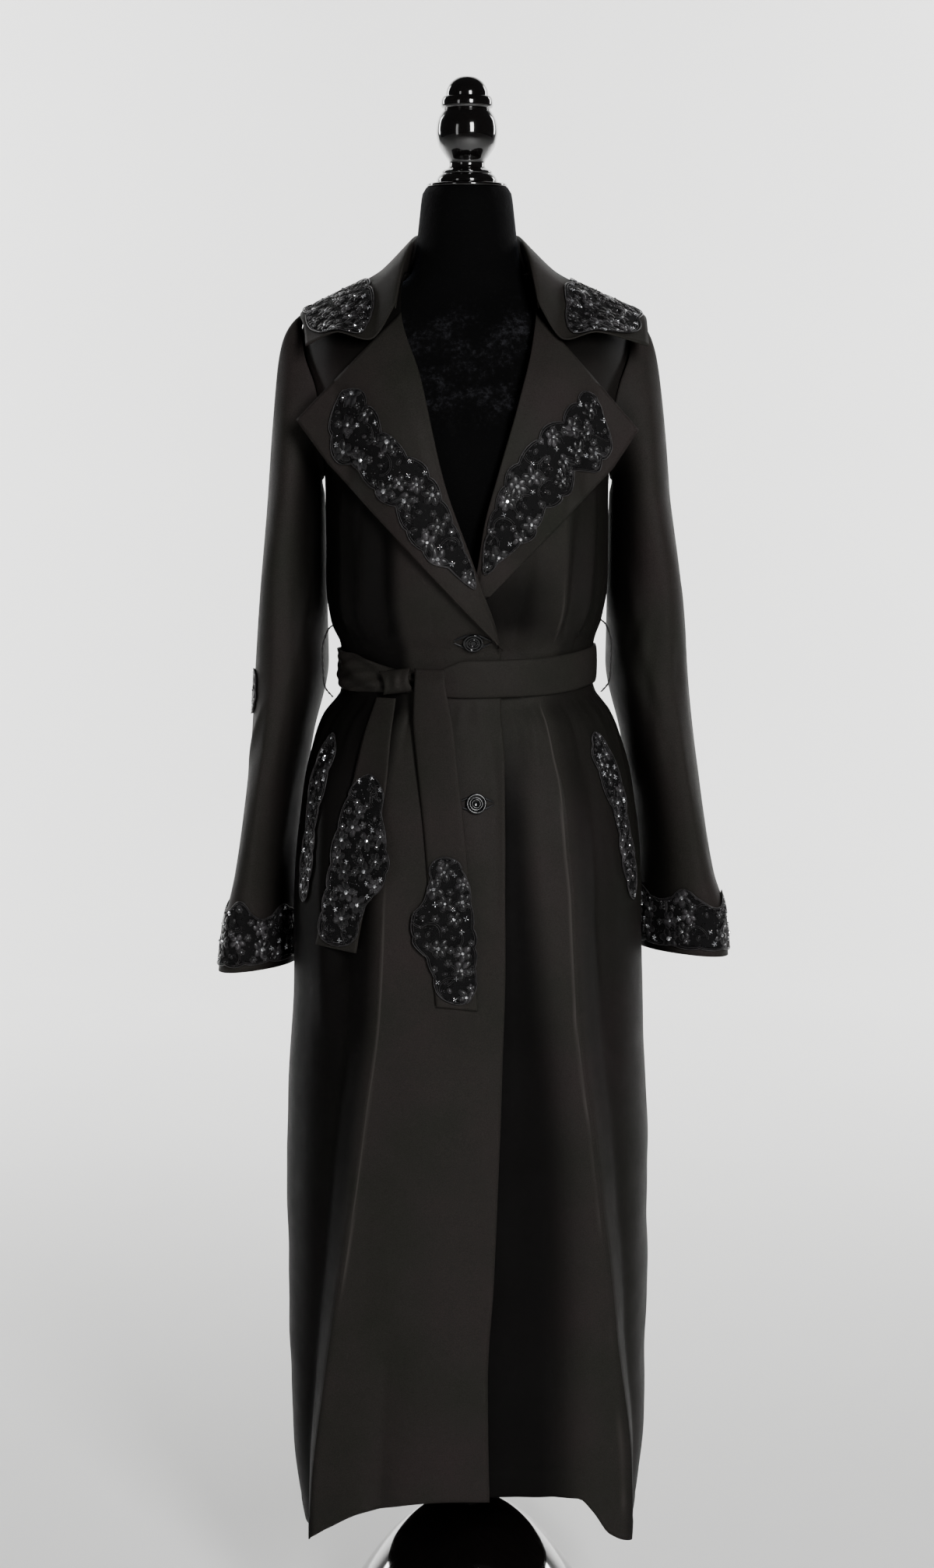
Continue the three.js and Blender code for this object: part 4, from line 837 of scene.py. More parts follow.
def gloss_look():
    look, tree, shader, place = material("black_gloss", Coat_Weight=1.0, Coat_Roughness=0.03, IOR=1.5)
    around = place.outputs["Object"]
    stops = [(0.3, (0.0018, 0.0015, 0.0015)), (0.7, (0.0042, 0.0034, 0.0032))]
    tone = ramp(tree, noise(tree, around, 6, 3), stops)
    tree.links.new(tone, shader.inputs["Base Color"])
    tree.links.new(scaled(tree, noise(tree, around, 40, 4), 0.06, 0.16), shader.inputs["Roughness"])
    bumped(tree, shader, (noise(tree, around, 14, 2), 0.04, 0.002))
    return look


def button_look():
    fixed = {"Coat_Weight": 0.2, "Coat_Roughness": 0.05, "Specular_IOR_Level": 0.3}
    look, tree, shader, place = material("button_black", **fixed)
    around = place.outputs["Object"]
    stops = [(0.3, (0.0012, 0.0012, 0.0014)), (0.7, (0.005, 0.005, 0.0055))]
    tone = ramp(tree, noise(tree, around, 160, 3), stops)
    tree.links.new(tone, shader.inputs["Base Color"])
    tree.links.new(scaled(tree, noise(tree, around, 300, 3), 0.08, 0.2), shader.inputs["Roughness"])
    bumped(tree, shader, (noise(tree, around, 60, 2), 0.02, 0.0005))
    return look


def net_look():
    """The lace's ground: fine six-sided net over the dark cloth."""
    look, tree, shader, place = material("lace_net", Roughness=0.75, Specular_IOR_Level=0.15)
    uv = place.outputs["UV"]
    cells = node(tree, "TexVoronoi", {"feature": "DISTANCE_TO_EDGE"}, Vector=uv, Scale=620.0, Randomness=0.35)
    stops = [(0.05, (0.005, 0.0046, 0.005)), (0.16, (0.0009, 0.0008, 0.0009))]
    thread = ramp(tree, cells.outputs["Distance"], stops)
    tree.links.new(thread, shader.inputs["Base Color"])
    height = node(tree, "MapRange", Value=cells.outputs["Distance"], From_Max=0.2, To_Min=1.0, To_Max=0.0)
    bumped(tree, shader, (height.outputs["Result"], 0.7, 0.0003))
    return look


def cord_look(name, dark, light, twist):
    """Twisted thread, lighter on its crowns."""
    look, tree, shader, place = material(name, Sheen_Weight=0.03, Specular_IOR_Level=0.3)
    around = place.outputs["Object"]
    grain = noise(tree, around, twist, 3)
    tree.links.new(ramp(tree, grain, [(0.32, dark), (0.68, light)]), shader.inputs["Base Color"])
    tree.links.new(scaled(tree, grain, 0.32, 0.55), shader.inputs["Roughness"])
    bumped(tree, shader, (grain, 0.6, 0.0004))
    return look


def petal_look():
    look, tree, shader, place = material("lace_petal", Sheen_Weight=0.04, Specular_IOR_Level=0.35)
    around = place.outputs["Object"]
    stops = [(0.38, (0.003, 0.0028, 0.003)), (0.52, (0.008, 0.0076, 0.0084)), (0.66, (0.040, 0.037, 0.040))]
    tone = ramp(tree, noise(tree, around, 48, 2), stops)
    tree.links.new(tone, shader.inputs["Base Color"])
    tree.links.new(scaled(tree, noise(tree, around, 500, 2), 0.22, 0.45), shader.inputs["Roughness"])
    bumped(tree, shader, (noise(tree, around, 900, 3), 0.5, 0.0003))
    return look


def sequin_look():
    look, tree, shader, place = material("lace_sequin", Metallic=0.6)
    around = place.outputs["Object"]
    stops = [(0.46, (0.003, 0.0028, 0.003)), (0.58, (0.014, 0.013, 0.014)), (0.70, (0.20, 0.19, 0.20))]
    tone = ramp(tree, noise(tree, around, 230, 1), stops)
    tree.links.new(tone, shader.inputs["Base Color"])
    tree.links.new(scaled(tree, noise(tree, around, 700, 2), 0.14, 0.32), shader.inputs["Roughness"])
    bumped(tree, shader, (noise(tree, around, 1500, 2), 0.4, 0.0002))
    return look


def stone_look():
    look, tree, shader, place = material("lace_stone", Metallic=0.85, IOR=1.7)
    around = place.outputs["Object"]
    tone = ramp(tree, noise(tree, around, 300, 1), [(0.35, (0.62, 0.63, 0.66)), (0.65, (0.95, 0.95, 0.97))])
    tree.links.new(tone, shader.inputs["Base Color"])
    tree.links.new(scaled(tree, noise(tree, around, 900, 1), 0.03, 0.1), shader.inputs["Roughness"])
    return look


cloth, velvet, gloss, button_black, net = cloth_look(), velvet_look(), gloss_look(), button_look(), net_look()
lace_cord = cord_look("lace_cord", (0.003, 0.0027, 0.003), (0.030, 0.027, 0.028), 300)
thread = cord_look("loop_thread", (0.004, 0.004, 0.004), (0.028, 0.026, 0.026), 700)
lip_cloth = cord_look("buttonhole_lip", (0.0012, 0.0012, 0.0014), (0.008, 0.008, 0.009), 240)
petal, sequin, stone = petal_look(), sequin_look(), stone_look()
CORD, PETAL, SEQUIN, STONE = range(4)
TRIM_LOOKS = [lace_cord, petal, sequin, stone]


# The camera
camera = bpy.data.cameras.new("camera")
camera.sensor_fit = "VERTICAL"
camera.sensor_height = 24
camera.lens = 24 * 4156 / 2015
camera.dof.use_dof = False
eye = bpy.data.objects.new("camera", camera)
eye.location = (0, -3.3, 1.30)
eye.rotation_euler = (Vector((0, 0, 0.894)) - Vector(eye.location)).to_track_quat("-Z", "Y").to_euler()
bpy.context.collection.objects.link(eye)
bpy.context.scene.camera = eye

# The coat's panels
fronts = {}
for name in ("right", "left"):
    points = grid(front_surface(name), crease_columns(80), 210)
    fronts[name] = cloth_piece(f"coat_front_{name}", points, cloth, CLOTH)
    found = angle_at(points[..., 0], points[..., 2])
    # The pressed mask also lightens the cloth's colour along the creases: a painted highlight, with rubbed
    # wear.
    mark(fronts[name], "pressed", pressed(found, points[..., 2]))
    # Painted shade for this front, kept at each point for its material.
    mark(fronts[name], "painted_shade", painted_shade(name, points[..., 0], found, points[..., 2]))
front_right, front_left = fronts["right"], fronts["left"]
back = cloth_piece("coat_back", grid(back_surface, 100, 150), cloth, CLOTH)
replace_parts(front_right, "front_right")
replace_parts(front_left, "front_left")
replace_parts(back, "back")
lapels = {}
for name in ("right", "left"):
    points = rolled_edge(grid(lapel_surface(name), 36, 100), 1.5)
    lapels[name] = cloth_piece(f"coat_lapel_{name}", points, cloth, FACED)
    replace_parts(lapels[name], f"lapel_{name}")
collar = cloth_piece("coat_collar", grid(collar_surface, 120, 44), cloth, FACED, centre=vec(0, 0, 1370))
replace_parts(collar, "collar")
sleeves = {}
for name in ("right", "left"):
    points = grid(sleeve_surface(name), 81, 130)
    middle = points[:, :-1].mean(axis=1, keepdims=True)
    sleeves[name] = cloth_piece(f"coat_sleeve_{name}", points, cloth, CLOTH, True, middle)
    # Painted shade: the sleeve's inner side gets a darker colour.
    inner = smooth((np.cos(2 * math.pi * np.linspace(0, 1, 81)[:-1]) + 0.2) / 0.7)
    mark(sleeves[name], "painted_shade", np.broadcast_to(0.8 * inner, (130, 80)))
    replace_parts(sleeves[name], f"sleeve_{name}")

# The belt, its knot and its free ends
belt = cloth_piece("waist_belt", grid(belt_surface, 280, 20), cloth, BELT_WALL)
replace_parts(belt, "belt")
knot = cloth_piece("waist_knot", grid(knot_surface, 26, 40), cloth, BELT_WALL)
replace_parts(knot, "belt_knot")
tail_front = cloth_piece("belt_end_front", grid(tail_surface(TAIL_FRONT, 0.4), 18, 150), cloth, BELT_WALL)
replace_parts(tail_front, "belt_tail_front")
tail_back = cloth_piece("belt_end_back", grid(tail_surface(TAIL_BACK, 2.1), 18, 120), cloth, BELT_WALL)
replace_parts(tail_back, "belt_tail_back")


def loop(name, sign, rise):
    """A thread loop at a side seam, two strands twisted together."""
    ends = [
        (136.2, -6, 1056), (142, -8, 1050), (147, -9, 1034), (147, -9, 1013), (145, -9, 993), (137.2, -7, 982),
    ]
    path = [np.broadcast_to((sign * x, y, z + rise), (90, 3)).astype(float) for x, y, z in ends]
    line = catmull(path, np.linspace(0, 1, 90), 0.5)
    out = np.broadcast_to((sign, 0.0, 0.0), line.shape)
    along = unit(np.gradient(line, axis=0))
    aside = unit(np.cross(along, out))
    verts, faces = [], []
    for phase in (0, math.pi):
        turn = np.linspace(0, 44, len(line))[:, None] + phase
        strand = line + 0.55 * (np.cos(turn) * out + np.sin(turn) * aside)
        ring, quads = tube(strand, out, 0.6, 8)
        faces += [tuple(i + len(verts) * len(ring) for i in quad) for quad in quads]
        verts.append(ring)
    made = mesh_object(name, np.concatenate(verts), faces, thread)
    return made


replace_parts(loop("thread_loop_right", -1, 2.5), "belt_loop_right")
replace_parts(loop("thread_loop_left", 1, 8), "belt_loop_left")


# Buttons and their bound holes
def front_frame(x, z):
    """A place on the front, with its across, up and facing directions."""
    at = lambda a, h: body_at("right", np.array([float(a)]), np.array([float(h)]))[0]
    angle = float(angle_at(np.array([float(x)]), np.array([float(z)]))[0])
    across = unit(at(angle + 3, z) - at(angle - 3, z))
    up = unit(at(angle, z + 8) - at(angle, z - 8))
    facing = unit(np.cross(across, up))
    return at(angle, z), across, unit(np.cross(facing, across)), facing


BUTTON_PROFILE = [
    [(0, 0.4), (6.0, 0.4)],
    [
        (6.0, 0.4), (9.4, 0.9), (10.4, 2.2), (10.2, 3.6), (9.0, 4.1), (7.9, 3.7), (7.3, 2.9), (6.2, 2.5),
        (5.2, 2.7),
    ],
    [(5.2, 2.7), (4.7, 3.5), (3.9, 3.8), (3.2, 3.4), (2.6, 2.6), (0, 2.2)],
]
for name, (x, z, out) in BUTTONS.items():
    place, across, up, facing = front_frame(x, z)
    made = lathe(f"{name}_turned", BUTTON_PROFILE, button_black, 40)
    for vertex in made.data.vertices:
        a, b, c = np.array(vertex.co) / METRE
        vertex.co = (place + a * across + b * up + (c + out - 0.3) * facing) * METRE
    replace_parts(made, name)

    verts, faces = [], []
    for lip in (-1, 1):
        t = np.linspace(0, 1, 40)
        reach = lerp(-19, 18, t)
        bow = lip * (1.1 + 5.6 * np.sin(math.pi * t))
        spot = np.array([front_frame(x + a, z + b)[0] for a, b in zip(reach, bow)])
        radius = 1.5 - 0.8 * np.abs(2 * t - 1) ** 3
        ring, quads = tube(spot, np.broadcast_to(facing, spot.shape), radius, 10, False, 0.5)
        faces += [tuple(i + len(verts) * len(ring) for i in quad) for quad in quads]
        verts.append(ring)
    hole = mesh_object(f"{name}_hole", np.concatenate(verts), faces, lip_cloth)


# Lace
class Patch:
    """Part of a surface that carries lace. p runs across it and q along it, both 0 to 1."""

    def __init__(self, surface, rows, out, centre, wave, lobes, seed, blunt=False):
        count = (70, 220)
        spans = table(rows)
        start, end = rows[0][0], rows[-1][0]
        p, q = np.meshgrid(np.linspace(0, 1, count[0]), np.linspace(0, 1, count[1]))
        at = lerp(start, end, q)
        low, high = spans(at)
        picks = np.random.default_rng(seed)
        phase = picks.uniform(0, 1, 2)
        waist = 1 if blunt else np.maximum(1 - np.abs(2 * q - 1) ** 12, 0.02) ** 0.5

        def bite(k):
            lobe = math.pi * (lobes * q + phase[k] + 0.2 * np.sin(9 * q + k))
            return wave * np.abs(np.sin(lobe)) ** 0.6

        middle = (low + high) / 2
        a = middle + (p - 0.5) * (high - low) * waist
        a = a + np.where(p < 0.5, -bite(0) * (1 - 2 * p), bite(1) * (2 * p - 1)) * waist
        base = surface(a, at)
        normal = unit(np.cross(np.gradient(base, axis=1), np.gradient(base, axis=0)))
        if np.sum(normal * (base - centre)) < 0:
            normal = -normal
        self.points, self.normals, self.count = base + out * normal, normal, count
        self.width = float(np.linalg.norm(np.diff(self.points, axis=1), axis=-1).sum(axis=1).mean())
        self.length = float(np.linalg.norm(np.diff(self.points, axis=0), axis=-1).sum(axis=0).mean())
        sides = np.cross(np.diff(self.points, axis=0)[:, :-1], np.diff(self.points, axis=1)[:-1])
        self.area = float(np.linalg.norm(sides, axis=-1).sum())

    def read(self, field, p, q):
        x = np.clip(p, 0, 1) * (self.count[0] - 1)
        y = np.clip(q, 0, 1) * (self.count[1] - 1)
        i = np.minimum(x.astype(int), self.count[0] - 2)
        j = np.minimum(y.astype(int), self.count[1] - 2)
        s, t = (x - i)[..., None], (y - j)[..., None]
        top = lerp(field[j, i], field[j, i + 1], s)
        return lerp(top, lerp(field[j + 1, i], field[j + 1, i + 1], s), t)

    def at(self, p, q):
        return self.read(self.points, p, q), unit(self.read(self.normals, p, q))

    def around(self, p, q):
        """A spot's local map: turns offsets in mm into places on the patch."""
        step = 0.012
        spot = lambda a, b: self.read(self.points, np.array([a]), np.array([b]))[0]
        du = (spot(p + step, q) - spot(p - step, q)) / (2 * step)
        dv = (spot(p, q + step) - spot(p, q - step)) / (2 * step)
        e1 = unit(dv)
        e2 = unit(du - np.dot(du, e1) * e1)
        jac = np.array([[np.dot(du, e2), np.dot(dv, e2)], [np.dot(du, e1), np.dot(dv, e1)]])
        inverse = np.linalg.pinv(jac, rcond=1e-3)

        def to(a, b):
            move = np.stack([a, b], -1) @ inverse.T
            return self.at(p + move[..., 0], q + move[..., 1])

        return to


class Trim:
    """Cords, petals, sequins and stones on a patch, gathered into one mesh."""

    def __init__(self, patch, seed):
        self.patch, self.rng = patch, np.random.default_rng(seed)
        self.verts, self.faces, self.marks, self.total = [], [], [], 0

    def add(self, verts, faces, mark):
        self.verts.append(verts)
        self.faces += [tuple(i + self.total for i in face) for face in faces]
        self.marks += [mark] * len(faces)
        self.total += len(verts)

    def cord(self, p, q, radius, closed=False, sides=4):
        path, normals = self.patch.at(p, q)
        self.add(*tube(path, normals, radius, sides, closed, radius * 0.7), CORD)

    def loop_of(self, to, a, b, radius, sides=3):
        path, normals = to(a, b)
        self.add(*tube(path, normals, radius, sides, True, radius * 0.7), CORD)

    def dome(self, to, centre, turn, long, wide, tall, mark, sides=8, rings=3, sink=0.2):
        """A low oval dome, its long way at an angle from along."""
        angle = np.linspace(0, 2 * math.pi, sides, endpoint=False)
        share = np.linspace(1, 0.34, rings)[:, None]
        a = share * wide * np.cos(angle)
        b = share * long * np.sin(angle)
        x = centre[0] + a * math.cos(turn) - b * math.sin(turn)
        y = centre[1] + a * math.sin(turn) + b * math.cos(turn)
        x, y = np.append(x.ravel(), centre[0]), np.append(y.ravel(), centre[1])
        height = np.append(((1 - share**2) ** 0.5 * tall - sink + 0 * a).ravel(), tall - sink)
        spots, normals = to(x, y)
        faces = grid_faces(rings, sides, True, False)
        last = (rings - 1) * sides
        faces += [(last + k, last + (k + 1) % sides, rings * sides) for k in range(sides)]
        self.add(spots + normals * height[:, None], faces, mark)

    def gem(self, to, centre, size):
        """A faceted stone, tilted a little at random."""
        angle = np.linspace(0, 2 * math.pi, 8, endpoint=False) + self.rng.uniform(0, 1)
        tilt = self.rng.uniform(-0.12, 0.12, 2) * size
        x, y, h = [], [], []
        for share, rise in ((1.0, 0.2), (0.96, 0.55), (0.55, 1.0)):
            x.append(centre[0] + share * size * np.cos(angle))
            y.append(centre[1] + share * size * np.sin(angle))
            h.append(rise * size + (tilt[0] * np.cos(angle) + tilt[1] * np.sin(angle)) * share)
        spots, normals = to(np.concatenate(x), np.concatenate(y))
        faces = grid_faces(3, 8, True, False) + [tuple(range(16, 24))]
        self.add(spots + normals * np.concatenate(h)[:, None], faces, STONE)

    def line(self, to, a, b, radius, sides=3):
        path, normals = to(a, b)
        self.add(*tube(path, normals, radius, sides, False, radius * 0.7), CORD)

    def beads(self, to, a, b, size, bright=0.015):
        """Small beads along a row of offsets."""
        for x, y in zip(a, b):
            mark = STONE if self.rng.random() < bright else SEQUIN
            self.dome(to, (x, y), 0, size, size, size * 1.3, mark, 5, 2)

    def flower(self, p, q, size):
        """Domed petals in corded rims round a stone."""
        to = self.patch.around(p, q)
        count = int(self.rng.integers(5, 7))
        start = self.rng.uniform(0, 6.3)
        for k in range(count):
            turn = start + k * 2 * math.pi / count + self.rng.uniform(-0.12, 0.12)
            reach = size * 0.58
            centre = (-reach * math.sin(turn), reach * math.cos(turn))
            self.dome(to, centre, turn, size * 0.42, size * 0.31, 1.1, PETAL, 8)
            angle = np.linspace(0, 2 * math.pi, 11)[:-1]
            a, b = size * 0.35 * np.cos(angle), size * 0.47 * np.sin(angle)
            x = centre[0] + a * math.cos(turn) - b * math.sin(turn)
            y = centre[1] + a * math.sin(turn) + b * math.cos(turn)
            self.loop_of(to, x, y, 0.36)
        self.gem(to, (0, 0), size * self.rng.uniform(0.16, 0.24))
        angle = np.linspace(0, 2 * math.pi, 9)[:-1]
        self.beads(to, size * 0.31 * np.cos(angle), size * 0.31 * np.sin(angle), 0.55, 0.02)

    def sparkle(self, p, q, size):
        """A little flower of pointed stones."""
        to = self.patch.around(p, q)
        count = int(self.rng.integers(4, 6))
        start = self.rng.uniform(0, 6.3)
        for k in range(count):
            turn = start + k * 2 * math.pi / count
            centre = (-size * 0.6 * math.sin(turn), size * 0.6 * math.cos(turn))
            self.dome(to, centre, turn, size * 0.42, size * 0.24, 1.3, STONE, 6, 2)
        self.gem(to, (0, 0), size * 0.24)

    def swirl(self, p, q, size, turn):
        """Rows of beads that curl round a corded leaf."""
        to = self.patch.around(p, q)
        for row, radius in enumerate((0.42, 0.66, 0.9)):
            t = np.linspace(-1.25, 1.25 - 0.25 * row, int(size * radius * 2.5 / 1.9))
            reach = size * radius * (1 + 0.12 * t)
            self.beads(to, -reach * np.sin(turn + t), reach * np.cos(turn + t), 0.56)
        angle = np.linspace(0, 2 * math.pi, 17)[:-1]
        a, b = size * 0.19 * np.cos(angle), size * 0.3 * np.sin(angle)
        across, along = math.sin(turn), math.cos(turn)
        self.loop_of(to, a * along - b * across, a * across + b * along, 0.4)
        self.dome(to, (0, 0), turn, size * 0.26, size * 0.15, 1.1, PETAL, 9)
        arc = np.linspace(-1.5, 1.2, 20)
        for radius in (1.1, 1.28):
            reach = size * radius * (1 + 0.1 * arc)
            self.line(to, -reach * np.sin(turn + arc), reach * np.cos(turn + arc), 0.36)

    def border(self, ends):
        """Two cords and a row of beads that follow the patch's outline."""
        for inset, radius in ((0.0, 0.62), (1.7, 0.36), (3.4, 0)):
            s, t = inset / self.patch.width, inset / self.patch.length
            count = int(self.patch.length / 2.2)
            if ends == "ring":
                turn = np.linspace(0, 1, count, endpoint=False)
                paths = [(s + 0 * turn, turn), (1 - s + 0 * turn, turn)]
            else:
                q = np.linspace(t, 1 - t, count)
                across = np.linspace(s, 1 - s, 24)[1:-1]
                p = np.concatenate([s + 0 * q, across, 1 - s + 0 * q, across[::-1]])
                paths = [(p, np.concatenate([q, 1 - t + 0 * across, q[::-1], t + 0 * across]))]
            for p, q in paths:
                if radius:
                    self.cord(p, q, radius, True)
                    continue
                for a, b in zip(p, q):
                    if self.rng.random() < 0.8:
                        self.beads(self.patch.around(a, b), [0], [0], 0.55, 0.03)

    def spread(self, count, gap, margin, taken, clear):
        """Seeded places at least gap apart, and clear of those already taken."""
        places = self.rng.uniform(0, 1, (count, 2))
        side = min(margin / self.patch.width, 0.42)
        places[:, 0] = lerp(side, 1 - side, places[:, 0])
        places[:, 1] = lerp(margin / self.patch.length, 1 - margin / self.patch.length, places[:, 1])
        spots = self.patch.read(self.patch.points, places[:, 0], places[:, 1])
        kept, found = np.zeros((0, 3)), []
        for spot, place in zip(spots, places):
            if len(kept) and np.linalg.norm(kept - spot, axis=1).min() < gap:
                continue
            if len(taken) and np.linalg.norm(taken - spot, axis=1).min() < clear:
                continue
            kept = np.vstack([kept, spot])
            found.append(place)
        return found, kept

    def fill(self, size, ends="loop"):
        """Flowers, swirls and small stones spread over the patch, then loose beads between them."""
        self.border(ends)
        area = self.patch.area
        places, taken = self.spread(int(22 * area / size**2), size * 1.75, size * 0.62, [], 0)
        for k, (p, q) in enumerate(places):
            own = size * self.rng.uniform(0.82, 1.12)
            if k % 3 == 1:
                self.swirl(p, q, own * 0.95, self.rng.uniform(0, 6.3))
            else:
                self.flower(p, q, own)
        places, small = self.spread(int(16 * area / size**2), size * 1.3, size * 0.3, taken, size * 1.02)
        for k, (p, q) in enumerate(places):
            if k % 3 == 0:
                self.sparkle(p, q, self.rng.uniform(2.6, 3.4))
            else:
                self.flower(p, q, self.rng.uniform(3.4, 4.4))
        taken = np.vstack([taken, small]) if len(small) else taken
        places, _ = self.spread(int(area / 10), 2.4, 2.4, taken, size * 0.85)
        for p, q in places:
            to = self.patch.around(p, q)
            radius = self.rng.uniform(0.5, 0.95)
            mark = SEQUIN if self.rng.random() < 0.75 else PETAL
            self.dome(to, (0, 0), 0, radius, radius, 0.8, mark, 5, 2)

    def build(self, name):
        verts = np.concatenate(self.verts)
        made = mesh_object(name, verts, self.faces, TRIM_LOOKS, None, self.marks, (STONE,))
        return made


# The net's wall, and which rows and columns of its patch it takes
NET_WALL = 0.5
NET_STEP = 3


def lace(name, patch, size, seed, closed=False):
    """A lace motif: its net ground and the raised work on it."""
    points = (patch.points - 0.4 * patch.normals)[::NET_STEP, ::NET_STEP]
    if closed:
        points = points[:-1].transpose(1, 0, 2)
        points = np.concatenate([points, points[:, :1]], axis=1)
    centre = points.mean(axis=(0, 1)) if closed else centre_of(patch)
    ground = cloth_piece(f"{name}_net", points, net, NET_WALL, closed, centre)
    trim = Trim(patch, seed)
    trim.fill(size, "ring" if closed else "loop")
    work = trim.build(f"{name}_work")
    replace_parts(ground, name)
    return ground, work


def centre_of(patch):
    """A point far behind the patch, which its faces look away from."""
    return patch.points.mean(axis=(0, 1)) - 400 * patch.normals.mean(axis=(0, 1))


LAPEL_LACE = {
    "right": [
        (0.05, 0.52, 0.70), (0.12, 0.5, 0.84), (0.2, 0.5, 0.88), (0.27, 0.46, 0.78), (0.35, 0.36, 0.8),
        (0.44, 0.2, 0.72), (0.52, 0.14, 0.8), (0.62, 0.1, 0.78), (0.7, 0.1, 0.56), (0.8, 0.08, 0.34),
    ],
    "left": [
        (0.05, 0.52, 0.70), (0.13, 0.5, 0.86), (0.22, 0.46, 0.88), (0.32, 0.34, 0.74), (0.42, 0.26, 0.8),
        (0.55, 0.14, 0.7), (0.64, 0.12, 0.78), (0.76, 0.1, 0.62), (0.9, 0.12, 0.4),
    ],
}
COLLAR_LACE = [
    (0.012, 0.6, 0.92), (0.05, 0.5, 0.93), (0.1, 0.56, 0.94), (0.16, 0.66, 0.95), (0.22, 0.76, 0.96),
    (0.3, 0.84, 0.96),
]
POCKETS = {"right": (952, 782, -60, -66), "left": (954, 784, 57, 67)}
POCKET_LACE_ANGLE = 13.5
POCKET_LACE = [
    (0, 0.2, 0.7), (0.15, 0.05, 0.9), (0.35, 0.1, 1.0), (0.55, 0.3, 0.85), (0.75, 0.2, 0.9), (1, 0.35, 0.75),
]
TAIL_LACE_FRONT = [
    (0.55, 0.12, 0.82), (0.62, 0.1, 0.9), (0.67, -0.02, 0.98), (0.72, -0.34, 0.98), (0.79, -0.4, 1.02),
    (0.86, -0.06, 0.98), (0.92, 0.06, 0.94), (0.985, 0.12, 0.92),
]
TAIL_LACE_BACK = [
    (0.3, 0.2, 0.8), (0.38, 0.04, 0.95), (0.46, 0.0, 1.02), (0.55, -0.02, 1.2), (0.66, 0.02, 1.38),
    (0.75, 0.05, 1.25), (0.82, 0.05, 0.97), (0.985, 0.06, 0.94),
]
ELBOW_LACE = [(0.5, 0.46, 0.52), (0.54, 0.44, 0.55), (0.575, 0.47, 0.53)]


def pocket_band(name):
    top, low, angle_top, angle_low = POCKETS[name]
    middle = lambda v: lerp(angle_top, angle_low, v)
    return lambda u, v: body_at(name, middle(v) + (u - 0.5) * POCKET_LACE_ANGLE, lerp(top, low, v))


def cuff_band(name):
    sleeve = sleeve_surface(name)
    turn = 0.0 if name == "right" else 0.37

    def top(v):
        wave = lambda count: np.sin(2 * math.pi * (count * v + turn))
        return 0.903 + 0.012 * wave(5) + 0.006 * wave(2)

    return lambda u, v: sleeve(v, lerp(top(v), 0.985, u))


body_middle = (0, 10, 1100)
for index, name in enumerate(("right", "left")):
    arm = np.array([(-1 if index == 0 else 1) * 212, 50, 730])
    patch = Patch(lapel_surface(name), LAPEL_LACE[name], 1.5, body_middle, 0.055, 8, 31 + index)
    lace(f"lace_lapel_{name}", patch, 10.0, 41 + index)
    half = lambda u, v, s=index: collar_surface(v if s == 0 else 1 - v, u)
    patch = Patch(half, COLLAR_LACE, 1.5, (0, 0, 1300), 0.035, 6, 33 + index)
    lace(f"lace_collar_{name}", patch, 8.6, 43 + index)
    patch = Patch(cuff_band(name), [(0, 0, 1), (1, 0, 1)], 1.6, arm, 0.05, 12, 35 + index, blunt=True)
    lace(f"lace_cuff_{name}", patch, 10.0, 45 + index, True)
    patch = Patch(pocket_band(name), POCKET_LACE, 1.4, (0, 10, 860), 0.09, 6, 37 + index)
    lace(f"lace_pocket_{name}", patch, 7.6, 47 + index)
for name, rows, lace_rows, phase, seed in (
    ("front", TAIL_FRONT, TAIL_LACE_FRONT, 0.4, 51), ("back", TAIL_BACK, TAIL_LACE_BACK, 2.1, 53),
):
    patch = Patch(tail_surface(rows, phase), lace_rows, 1.4, (0, 10, 800), 0.07, 6, seed)
    lace(f"lace_tail_{name}", patch, 9.6, seed + 1)
patch = Patch(sleeve_surface("right"), ELBOW_LACE, 1.4, (-185, 30, 910), 0.01, 3, 55)
lace("lace_elbow_right", patch, 6.0, 56)


# The dress form and its stand
def form_piece():
    z = np.linspace(FORM_BASE_Z, NECK_TOP_Z, 120)
    turn, level = np.meshgrid(np.linspace(0, 360, 97)[:-1], z)
    points = ring_point(form_at(level), turn, level)
    low, high = points[:1] * [0.0, 0.0, 1.0], points[-1:] * [0.0, 0.0, 1.0]
    points = np.concatenate([low, points, high])
    made = mesh_object("dress_form", points.reshape(-1, 3), grid_faces(len(points), 96, True, False), velvet)
    weld(made, 50)
    return made


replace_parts(form_piece(), "form_body")

CAP_Z = NECK_TOP_Z + 0.3
FINIAL = [
    [(0, 0), (39.4, 0)],
    [(39.4, 0), (40.5, 0.9), (40.5, 2.6), (39.4, 3.6)],
    [(39.4, 3.6), (30.4, 4.2)],
    [(30.4, 4.2), (31.0, 6.2), (30.2, 9.0), (27.6, 12.2), (25.4, 13.6)],
    [(25.4, 13.6), (25.6, 15.2), (24.0, 16.6)],
    [
        (24.0, 16.6), (20.2, 18.2), (18.2, 21.6), (18.8, 26.0), (23.0, 32.0), (28.2, 40.0), (31.0, 50.0),
        (31.2, 58.0), (29.4, 67.0), (25.0, 74.6), (23.2, 77.0),
    ],
    [(23.2, 77.0), (25.6, 78.6), (26.6, 81.8), (26.2, 86.0), (24.6, 89.0), (21.6, 90.4)],
    [(21.6, 90.4), (20.9, 95.4), (18.2, 101.2), (13.6, 105.9), (7.4, 109.0), (0, 110)],
]
finial = lathe("turned_finial", [[(r, CAP_Z + z) for r, z in run] for run in FINIAL], gloss)
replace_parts(finial, "neck_cap")

